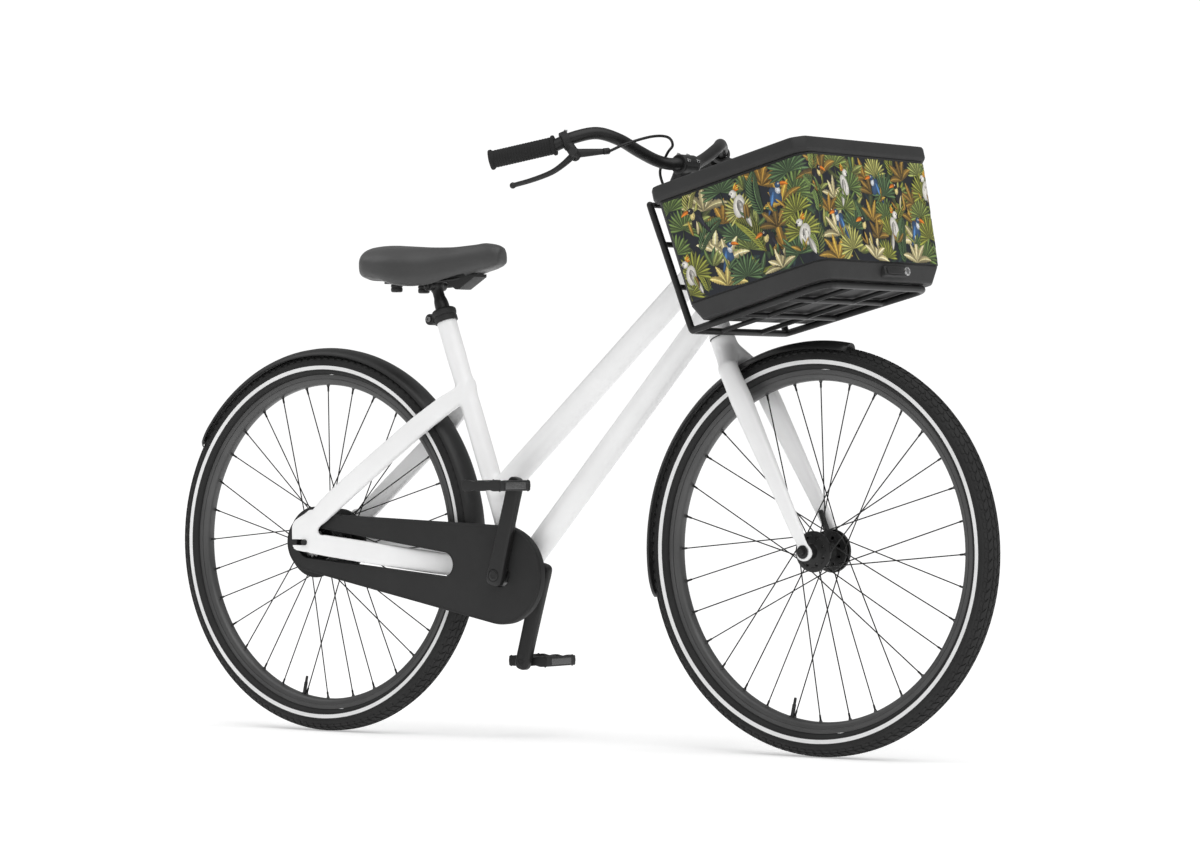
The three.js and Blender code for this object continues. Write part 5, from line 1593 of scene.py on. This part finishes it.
def crate_outline(half_x, half_y, chamfer_x, chamfer_y, ease=5.0, count=5):
    """A rectangle with cut corners, every corner eased, as (x, y) points from the front right."""
    corners = []
    for sx, sy in ((1, -1), (1, 1), (-1, 1), (-1, -1)):
        along_x = Vector((sx * (half_x - chamfer_x), sy * half_y, 0))
        along_y = Vector((sx * half_x, sy * (half_y - chamfer_y), 0))
        corners += [along_x, along_y] if sx * sy < 0 else [along_y, along_x]
    points = []
    for i, corner in enumerate(corners):
        before, after = corners[i - 1], corners[(i + 1) % len(corners)]
        a = corner + (before - corner).normalized() * ease
        b = corner + (after - corner).normalized() * ease
        for k in range(count):
            t = k / (count - 1)
            points.append(a.lerp(corner, t).lerp(corner.lerp(b, t), t))
    return points


def hull_at(height):
    """(centre x, half length, half width) of the crate's outside at a height."""
    heights = [s[0] for s in CRATE_HULL]
    return [float(np.interp(height, heights, [s[k] for s in CRATE_HULL])) for k in (1, 2, 3)]


def crate_ring(height, grow=0.0, ease=5.0, at=None):
    """The crate's outline at a height, moved outward by grow."""
    x, half_x, half_y = hull_at(height if at is None else at)
    half_x, half_y = half_x + grow, half_y + grow
    outline = crate_outline(half_x, half_y, CHAMFER_SHARE * half_x, CHAMFER_SHARE * half_y, ease)
    return [in_crate(x + p.x, p.y, height) for p in outline]


def crate_shell():
    rings = [crate_ring(0.6, -2.2), crate_ring(0.9, -0.8), crate_ring(2.2, -0.1), crate_ring(4, 0)]
    rings += [crate_ring(h) for h in (12, 20, 27)]
    rings += [crate_ring(28.2, -0.2), crate_ring(28.8, -1.3), crate_ring(30.2, -1.5), crate_ring(31, 0)]
    rings += [crate_ring(h) for h in (60, 110, 160, 216)]
    rings += [crate_ring(216.6, -0.8), crate_ring(216.6, -2.4), crate_ring(216, -3)]
    rings += [crate_ring(h, -3) for h in (160, 100, 50, 28, 20, 15)]
    rings += [crate_ring(12.8, -4.4), crate_ring(11.8, -8, 6)]
    tub = loft("tub", rings, angle=32)
    parts = [(tub, CRATE_PLASTIC)]
    for x in range(-110, 111, 44):
        rib = [in_crate(x + a * 1.3, b * 150, 11.5 + c) for c in (0, 2.4) for a, b in ((-1, -1), (1, -1), (1, 1), (-1, 1))]
        faces = [(0, 1, 2, 3), (7, 6, 5, 4)] + [(i, (i + 1) % 4, (i + 1) % 4 + 4, i + 4) for i in range(4)]
        parts.append((mesh_object("rib", rib, faces), CRATE_PLASTIC))
    return piece(assembled("crate_tub", parts), "crate_tub", "frame", None, ["crate_shell"])


def crate_rim():
    def ring(height, half_x, half_y, ease=6.0):
        outline = crate_outline(half_x, half_y, CHAMFER_SHARE * half_x, CHAMFER_SHARE * half_y, ease)
        return [in_crate(-7.8 + p.x, p.y, height) for p in outline]

    rings = [ring(217.1, 158, 197), ring(217.1, 162, 201), ring(218, 163.4, 202.8), ring(223, 166, 206)]
    rings += [ring(225, 166.5, 206.5), ring(240, 166.5, 206.5), ring(243.4, 165.2, 205), ring(244.8, 162, 201.6)]
    rings += [ring(244.9, 156, 195.4), ring(244.2, 152.4, 191.6), ring(242.4, 150.6, 189.7), ring(236, 150, 189)]
    rings += [ring(222, 150, 189), ring(218, 150.6, 189.6), ring(217.2, 153, 192)]
    return piece(loft("rim", rings, ring_shaped=True, angle=32), "crate_top_rim", "frame", CRATE_PLASTIC,
                 ["crate_rim"])


LOCK_HEIGHT = 15
LOCK_Y = 61


def crate_lock():
    """The latch housing on the lower front edge, with the round lock in it."""
    rings = []
    for reach, ease in ((131.5, 1.0), (144.6, 1.0), (145.8, 0.97), (146.2, 0.93)):
        rings.append([in_crate(reach, 32 + a * 38 * ease, LOCK_HEIGHT + b * 9 * ease) for a, b in ellipse(40, 9)])
    housing = loft("housing", rings)
    combine(housing, loft("tub_room", [crate_ring(h, 0.35) for h in (0.7, 14, 28, 50)]), "DIFFERENCE")
    parts = [(shade(housing), CRATE_PLASTIC)]
    front = Vector((TILT_COS, 0, TILT_SIN))
    at = in_crate(0, LOCK_Y, LOCK_HEIGHT)
    barrel = [(0, 143), (7.8, 143), (7.8, 148.6), (7.2, 149.7), (6.2, 150), (5.8, 149.3), (0, 149.3)]
    lock = lathe("barrel", barrel, at, front, 48)
    corners = ((-1, -1), (1, -1), (1, 1), (-1, 1))
    slot = [in_crate(x, LOCK_Y + a * 1.0, LOCK_HEIGHT + b * 3.6) for x in (148, 152) for a, b in corners]
    faces = [(0, 1, 2, 3), (7, 6, 5, 4)] + [(i, (i + 1) % 4, (i + 1) % 4 + 4, i + 4) for i in range(4)]
    combine(lock, mesh_object("slot", slot, faces), "DIFFERENCE")
    parts.append((shade(lock), LOCK_METAL))
    tab = []
    for reach, ease in ((145.8, 1.0), (148.2, 1.0), (148.9, 0.94)):
        tab.append([in_crate(reach, 21 + a * 23 * ease, LOCK_HEIGHT + b * 6 * ease) for a, b in ellipse(32, 6)])
    parts.append((loft("tab", tab), BLACK_PLASTIC))
    return piece(assembled("crate_lock_and_latch", parts), "crate_lock_and_latch", "frame", None,
                 ["crate_lock"])


crate_shell()
crate_rim()
crate_lock()


# ---------------------------------------------------------------- printed panels
PRINT_LOW, PRINT_HIGH = 31.6, 212.6
PRINT_REAR = -141.5  # where the print stops, short of the rear corners
PRINT_PROUD = 1.5
NAVY = (14, 20, 30)
random.seed(11)


class Panel:
    """Places (along, height) points of the print on the crate's sides, which it wraps round."""

    def __init__(self):
        self.low = self.outline(PRINT_LOW)
        self.high = self.outline(PRINT_HIGH)
        middle = [(a + b) / 2 for a, b in zip(self.low, self.high)]
        self.at = [0.0]
        for a, b in zip(middle, middle[1:]):
            self.at.append(self.at[-1] + (b - a).length)
        inside = [i for i, p in enumerate(middle) if p.x > PRINT_REAR]
        first, last = inside[0], inside[-1]
        self.start = self.at[first] - (middle[first].x - PRINT_REAR)
        self.length = self.at[last] + (middle[last].x - PRINT_REAR) - self.start
        self.corners = [self.at[i] - self.start for i in inside]

    def outline(self, height):
        """The crate's outline at a height, from its rear right corner round the front."""
        x, half_x, half_y = hull_at(height)
        half_x, half_y = half_x + PRINT_PROUD, half_y + PRINT_PROUD
        points = crate_outline(half_x, half_y, CHAMFER_SHARE * half_x, CHAMFER_SHARE * half_y, 9.0, 7)
        corner = len(points) // 4
        return [Vector((p.x + x, p.y, 0)) for p in points[-corner:] + points[:-corner]]

    def place(self, along, height, lift):
        along = self.start + min(max(along, 0.0), self.length)
        i = min(max(0, int(np.searchsorted(self.at, along, "right")) - 1), len(self.at) - 2)
        t = (along - self.at[i]) / max(self.at[i + 1] - self.at[i], 1e-9)
        share = (height - PRINT_LOW) / (PRINT_HIGH - PRINT_LOW)
        low = self.low[i].lerp(self.low[i + 1], t)
        high = self.high[i].lerp(self.high[i + 1], t)
        flat = low.lerp(high, share)
        way = (self.low[i + 1] - self.low[i]).normalized()
        outward = Vector((way.y, -way.x, 0))
        flat += outward * lift
        return in_crate(flat.x, flat.y, height)


class Print:
    """Collects thin painted shapes, each a closed skin lying a little above the last."""

    def __init__(self, panel):
        self.panel = panel
        self.points, self.faces, self.inks = [], [], []
        self.lift = 0.03

    def strip(self, rows):
        """A shape from rows of (along, height, ink) points, all rows of one length."""
        self.lift += 0.00042
        across = len(rows[0])
        base = len(self.points)
        for depth in (self.lift, -0.05):
            for row in rows:
                for along, height, ink in row:
                    height = min(max(height, PRINT_LOW + 0.5), PRINT_HIGH - 0.5)
                    along = min(max(along, 0.5), self.panel.length - 0.5)
                    self.points.append(self.panel.place(along, height, depth))
                    self.inks.append(tone(ink))
        count = len(rows) * across
        for r in range(len(rows) - 1):
            for i in range(across - 1):
                a = base + r * across + i
                self.faces.append((a, a + 1, a + across + 1, a + across))
                self.faces.append((a + count, a + count + across, a + count + across + 1, a + count + 1))
            for edge in (0, across - 1):
                a = base + r * across + edge
                self.faces.append((a, a + across, a + across + count, a + count))
        for row in (0, len(rows) - 1):
            for i in range(across - 1):
                a = base + row * across + i
                self.faces.append((a, a + 1, a + 1 + count, a + count))

    def object(self, name):
        mesh = bpy.data.meshes.new(name)
        mesh.from_pydata([tuple(p) for p in self.points], [], self.faces)
        layer = mesh.attributes.new("ink", "FLOAT_COLOR", "POINT")
        layer.data.foreach_set("color", [c for ink in self.inks for c in ink])
        obj = link(name, mesh)
        bm = bmesh.new()
        bm.from_mesh(mesh)
        bmesh.ops.dissolve_degenerate(bm, edges=bm.edges, dist=2e-6)
        bmesh.ops.recalc_face_normals(bm, faces=bm.faces)
        bm.to_mesh(mesh)
        bm.free()
        mesh.materials.append(PRINT_INK)
        return obj


def shaded(ink, factor):
    return tuple(min(255.0, max(0.0, c * factor)) for c in ink)


def leaf(sheet, along, height, heading, length, width, ink, curl=0.0, peak=0.45, light=1.35, dark=0.6, slits=0, steps=9):
    """A leaf with a pale midrib and darker edges, curling to one side, with slits along its edges."""
    rows = []
    x, z = along, height
    for k in range(steps + 1):
        t = k / steps
        turn = heading + curl * t
        if k:
            x += length / steps * math.cos(turn)
            z += length / steps * math.sin(turn)
        half = width / 2 * (math.sin(math.pi * t ** (math.log(0.5) / math.log(peak))) ** 0.8)
        if slits and k % 2 and 0 < k < steps:
            half *= 1 - 0.45 * slits
        nx, nz = -math.sin(turn), math.cos(turn)
        fade = 0.82 + 0.36 * t
        rows.append([
            (x + nx * half, z + nz * half, shaded(ink, dark * fade)),
            (x + nx * half * 0.12, z + nz * half * 0.12, shaded(ink, fade)),
            (x, z, shaded(ink, light * fade)),
            (x - nx * half * 0.12, z - nz * half * 0.12, shaded(ink, 0.8 * fade)),
            (x - nx * half, z - nz * half, shaded(ink, dark * 0.85 * fade)),
        ])
    sheet.strip(rows)
    return x, z


def fan_palm(sheet, along, height, size, ink, heading, opening=math.radians(200), count=17):
    leaf(sheet, along, height, heading + math.pi, size * 0.7, 2.4, shaded(ink, 0.8), 0.2, 0.5)
    for k in range(count):
        share = k / (count - 1) - 0.5
        reach = size * (0.86 + 0.14 * math.cos(math.pi * share)) * random.uniform(0.93, 1.05)
        shade_by = 0.82 if k % 2 else 1.12
        leaf(sheet, along, height, heading + opening * share, reach, size * 0.15, shaded(ink, shade_by), share * 0.25, 0.62,
             1.4, 0.55)


def feather_palm(sheet, along, height, length, ink, heading, curl):
    x, z = along, height
    steps = 15
    for k in range(steps):
        t = (k + 0.5) / steps
        turn = heading + curl * t
        x += length / steps * math.cos(turn)
        z += length / steps * math.sin(turn)
        reach = length * 0.34 * math.sin(math.pi * (0.15 + 0.8 * t))
        for side in (-1, 1):
            leaf(sheet, x, z, turn + side * (1.05 - 0.4 * t), reach, length * 0.05, shaded(ink, 1.1 if side > 0 else 0.82),
                 -side * 0.5, 0.4, steps=5)
    leaf(sheet, along, height, heading, length, 2.2, shaded(ink, 1.3), curl, 0.4)


def banana_tuft(sheet, along, height, size, ink, heading):
    for share in (-0.9, -0.45, 0.4, 0.85, 0.0):
        tint = shaded(ink, random.uniform(0.75, 1.15))
        leaf(sheet, along, height, heading + share * 1.1 + random.uniform(-0.1, 0.1), size * random.uniform(0.8, 1.05),
             size * 0.3, tint, share * 0.9, 0.5, 1.45, 0.62, 0.5, 15)


def disc(sheet, along, height, half_x, half_z, ink, lean=0.0, count=5, edge=0.72):
    """An oval spot, lighter in the middle, as rows of a strip."""
    rows = []
    for k in range(9):
        turn = math.pi * k / 8
        u, w = -math.cos(turn), math.sin(turn)
        row = []
        for i in range(count):
            v = (2 * i / (count - 1) - 1) * w
            x, z = u * half_x, v * half_z
            weight = 1 - (1 - edge) * (u * u + v * v)
            row.append((along + x * math.cos(lean) - z * math.sin(lean),
                        height + x * math.sin(lean) + z * math.cos(lean), shaded(ink, weight)))
        rows.append(row)
    sheet.strip(rows)


WHITE_DOWN, ORANGE, CHARCOAL, BLUE = (250, 246, 236), (246, 134, 30), (26, 27, 34), (52, 84, 122)


def pale_bird(sheet, along, height, size, facing):
    """A small pale perching bird with a warm crest."""
    up = math.pi / 2
    leaf(sheet, along - facing * size * 0.12, height - size * 0.1, -up - facing * 0.25, size * 0.62, size * 0.17,
         shaded(WHITE_DOWN, 0.82), 0, 0.5, 1.05, 0.7)
    disc(sheet, along, height, size * 0.34, size * 0.2, WHITE_DOWN, up + facing * 0.28)
    leaf(sheet, along - facing * size * 0.02, height + size * 0.2, -up - facing * 0.12, size * 0.58, size * 0.22,
         shaded(WHITE_DOWN, 0.9), facing * 0.1, 0.4, 1.04, 0.62)
    head_x, head_z = along + facing * size * 0.12, height + size * 0.4
    for k in range(4):
        leaf(sheet, head_x - facing * size * 0.04, head_z + size * 0.05, up + facing * (0.25 + 0.28 * k), size * (0.3 - 0.03 * k),
             size * 0.07, ORANGE if k % 2 else (244, 196, 70), facing * 0.5, 0.5, steps=5)
    disc(sheet, head_x, head_z, size * 0.13, size * 0.12, WHITE_DOWN)
    leaf(sheet, head_x + facing * size * 0.08, head_z, -up + facing * 0.9, size * 0.15, size * 0.09, CHARCOAL, -facing * 0.8,
         0.3, steps=5)
    disc(sheet, head_x + facing * size * 0.04, head_z + size * 0.02, size * 0.022, size * 0.022, CHARCOAL, edge=1)


def dark_bird(sheet, along, height, size, facing, breast, coat):
    """A dark bird with a pale breast and a long warm bill."""
    up = math.pi / 2
    leaf(sheet, along - facing * size * 0.14, height - size * 0.08, -up - facing * 0.5, size * 0.6, size * 0.15, coat, 0, 0.5)
    disc(sheet, along, height, size * 0.34, size * 0.19, coat, up + facing * 0.5)
    disc(sheet, along + facing * size * 0.12, height + size * 0.15, size * 0.14, size * 0.1, breast, up + facing * 0.3)
    leaf(sheet, along - facing * size * 0.06, height + size * 0.16, -up - facing * 0.42, size * 0.5, size * 0.2,
         shaded(coat, 1.6), facing * 0.1, 0.4)
    head_x, head_z = along + facing * size * 0.16, height + size * 0.33
    disc(sheet, head_x, head_z, size * 0.12, size * 0.11, coat)
    heading = 0.08 if facing > 0 else math.pi - 0.08
    leaf(sheet, head_x + facing * size * 0.07, head_z + size * 0.01, heading, size * 0.36, size * 0.14, ORANGE, -facing * 0.7,
         0.3, 1.2, 0.75)
    disc(sheet, head_x + facing * size * 0.03, head_z + size * 0.03, size * 0.03, size * 0.03, (240, 232, 200), edge=1)
    disc(sheet, head_x + facing * size * 0.03, head_z + size * 0.03, size * 0.014, size * 0.014, CHARCOAL, edge=1)


GREENS = [(124, 138, 70), (150, 158, 88), (100, 122, 64), (174, 172, 94), (80, 106, 68), (138, 142, 58)]
OLIVES = [(192, 152, 62), (158, 120, 46), (216, 192, 112), (140, 110, 48), (228, 212, 156)]
DEEPS = [(42, 62, 44), (34, 52, 54), (52, 72, 44), (30, 46, 50), (72, 78, 42)]
PRINT_ROWS = 5


def foliage(panel):
    """The whole print, from the dark leaves behind to the birds in front."""
    sheet = Print(panel)
    height_span = PRINT_HIGH - PRINT_LOW
    columns = int(panel.length / 17)
    for k in range(columns * 5):
        along = (k % columns + random.random()) * panel.length / columns
        height = PRINT_LOW + random.random() * height_span
        leaf(sheet, along, height, random.uniform(0, 2 * math.pi), random.uniform(28, 48), random.uniform(9, 15),
             random.choice(DEEPS), random.uniform(-0.8, 0.8), 0.45, 1.3, 0.7, steps=7)
    slots = int(panel.length / 40)
    order = []
    for row in range(PRINT_ROWS):
        for k in range(slots):
            along = (k + 0.5 * (row % 2) + random.uniform(-0.25, 0.25)) * panel.length / slots
            height = PRINT_LOW + (row + 0.35 + random.uniform(-0.2, 0.2)) * height_span / PRINT_ROWS
            order.append((along, height, (k * 7 + row * 3) % 6))
    random.shuffle(order)
    for along, height, kind in order:
        upward = math.pi / 2 + random.uniform(-0.5, 0.5)
        if kind in (0, 3):
            fan_palm(sheet, along, height, random.uniform(34, 46), random.choice(GREENS), upward)
        elif kind == 1:
            feather_palm(sheet, along, height - 14, random.uniform(62, 84), random.choice(GREENS), upward,
                         random.choice((-1, 1)) * random.uniform(0.6, 1.3))
        elif kind in (2, 5):
            banana_tuft(sheet, along, height - 10, random.uniform(40, 56), random.choice(OLIVES), upward)
        else:
            for _ in range(5):
                leaf(sheet, along, height, upward + random.uniform(-1.3, 1.3), random.uniform(26, 40), random.uniform(8, 12),
                     random.choice(GREENS), random.uniform(-0.7, 0.7), 0.4, 1.4, 0.6)
    birds = int(panel.length / 40)
    for k in range(birds):
        along = (k + 0.5 + random.uniform(-0.2, 0.2)) * panel.length / birds
        height = PRINT_LOW + height_span * (0.72 if k % 2 else 0.3) + random.uniform(-12, 12)
        facing = random.choice((-1, 1))
        if k % 3 == 0:
            pale_bird(sheet, along, height, random.uniform(50, 60), facing)
        elif k % 3 == 1:
            dark_bird(sheet, along, height, random.uniform(46, 56), facing, (244, 224, 150), CHARCOAL)
        else:
            dark_bird(sheet, along, height, random.uniform(44, 52), facing, (232, 236, 240), BLUE)
        for _ in range(3):
            leaf(sheet, along + random.uniform(-16, 16), height - 26, math.pi / 2 + random.uniform(-1.2, 1.2),
                 random.uniform(20, 30), random.uniform(5, 8), random.choice(GREENS + OLIVES), random.uniform(-0.6, 0.6))
    return sheet.object("foliage")


def printed_panels():
    panel = Panel()
    section = (
        (PRINT_LOW, -1.1), (PRINT_LOW, -0.5), (PRINT_LOW + 0.4, 0), (PRINT_HIGH - 0.4, 0), (PRINT_HIGH, -0.5),
        (PRINT_HIGH, -1.1),
    )
    rings = []
    for at in [0, 0.4, *panel.corners, panel.length - 0.4, panel.length]:
        rings.append([panel.place(at, height, lift) for height, lift in section])
    band = loft("band", rings, angle=32)
    layer = band.data.attributes.new("ink", "FLOAT_COLOR", "POINT")
    layer.data.foreach_set("color", list(tone(NAVY)) * len(band.data.vertices))
    piece(band, "crate_print_ground", "frame", PRINT_INK, ["crate_print"])
    piece(foliage(panel), "crate_print_leaves", "frame", PRINT_INK)


printed_panels()


# ---------------------------------------------------------------- floor, light and backdrop
FLOOR_SIZE = 60
floor_mesh = bpy.data.meshes.new("studio_floor")
corners = [(-1, -1), (1, -1), (1, 1), (-1, 1)]
floor_mesh.from_pydata([(x * FLOOR_SIZE, y * FLOOR_SIZE, -0.0004) for x, y in corners], [], [(0, 1, 2, 3)])
floor = link("studio_floor", floor_mesh)
floor_material, floor_tree, floor_shader = nodes_of("studio_floor")
floor_shader.inputs["Base Color"].default_value = (0.92, 0.92, 0.92, 1)
floor_shader.inputs["Roughness"].default_value = 0.6
floor_shader.inputs["Specular IOR Level"].default_value = 0.1
floor_shader.inputs["Emission Color"].default_value = (1, 1, 1, 1)
floor_shader.inputs["Emission Strength"].default_value = 0.36
floor_mesh.materials.append(floor_material)

world = bpy.context.scene.world or bpy.data.worlds.new("studio")
bpy.context.scene.world = world
world.use_nodes = True
light_tree = world.node_tree
dim = light_tree.nodes["Background"]
dim.inputs["Color"].default_value = (1, 1, 1, 1)
dim.inputs["Strength"].default_value = 0.34
bright = light_tree.nodes.new("ShaderNodeBackground")
bright.inputs["Color"].default_value = (1, 1, 1, 1)
bright.inputs["Strength"].default_value = 1.05
choice = light_tree.nodes.new("ShaderNodeMixShader")
light_tree.links.new(light_tree.nodes.new("ShaderNodeLightPath").outputs["Is Camera Ray"], choice.inputs["Fac"])
light_tree.links.new(dim.outputs[0], choice.inputs[1])
light_tree.links.new(bright.outputs[0], choice.inputs[2])
light_tree.links.new(choice.outputs[0], light_tree.nodes["World Output"].inputs["Surface"])


def softbox(name, place, target, size, power):
    light = bpy.data.lights.new(name, "AREA")
    light.shape = "RECTANGLE"
    light.size, light.size_y = size
    light.energy = power
    obj = bpy.data.objects.new(name, light)
    bpy.context.scene.collection.objects.link(obj)
    obj.location = place
    obj.rotation_mode = "QUATERNION"
    obj.rotation_quaternion = (Vector(target) - Vector(place)).to_track_quat("-Z", "Y")


def sky_light(name, heading, strength, spread_degrees):
    """A broad light from far away, which lights the whole floor evenly."""
    light = bpy.data.lights.new(name, "SUN")
    light.energy = strength
    light.angle = math.radians(spread_degrees)
    obj = bpy.data.objects.new(name, light)
    bpy.context.scene.collection.objects.link(obj)
    obj.rotation_mode = "QUATERNION"
    obj.rotation_quaternion = Vector(heading).to_track_quat("-Z", "Y")


sky_light("key", (-0.55, 0.25, -1.0), 1.85, 75)
softbox("rim_light", (-2.6, -1.2, 3.0), (0, 0, 0.6), (2.0, 2.0), 18)
bpy.context.scene.view_settings.view_transform = "Standard"
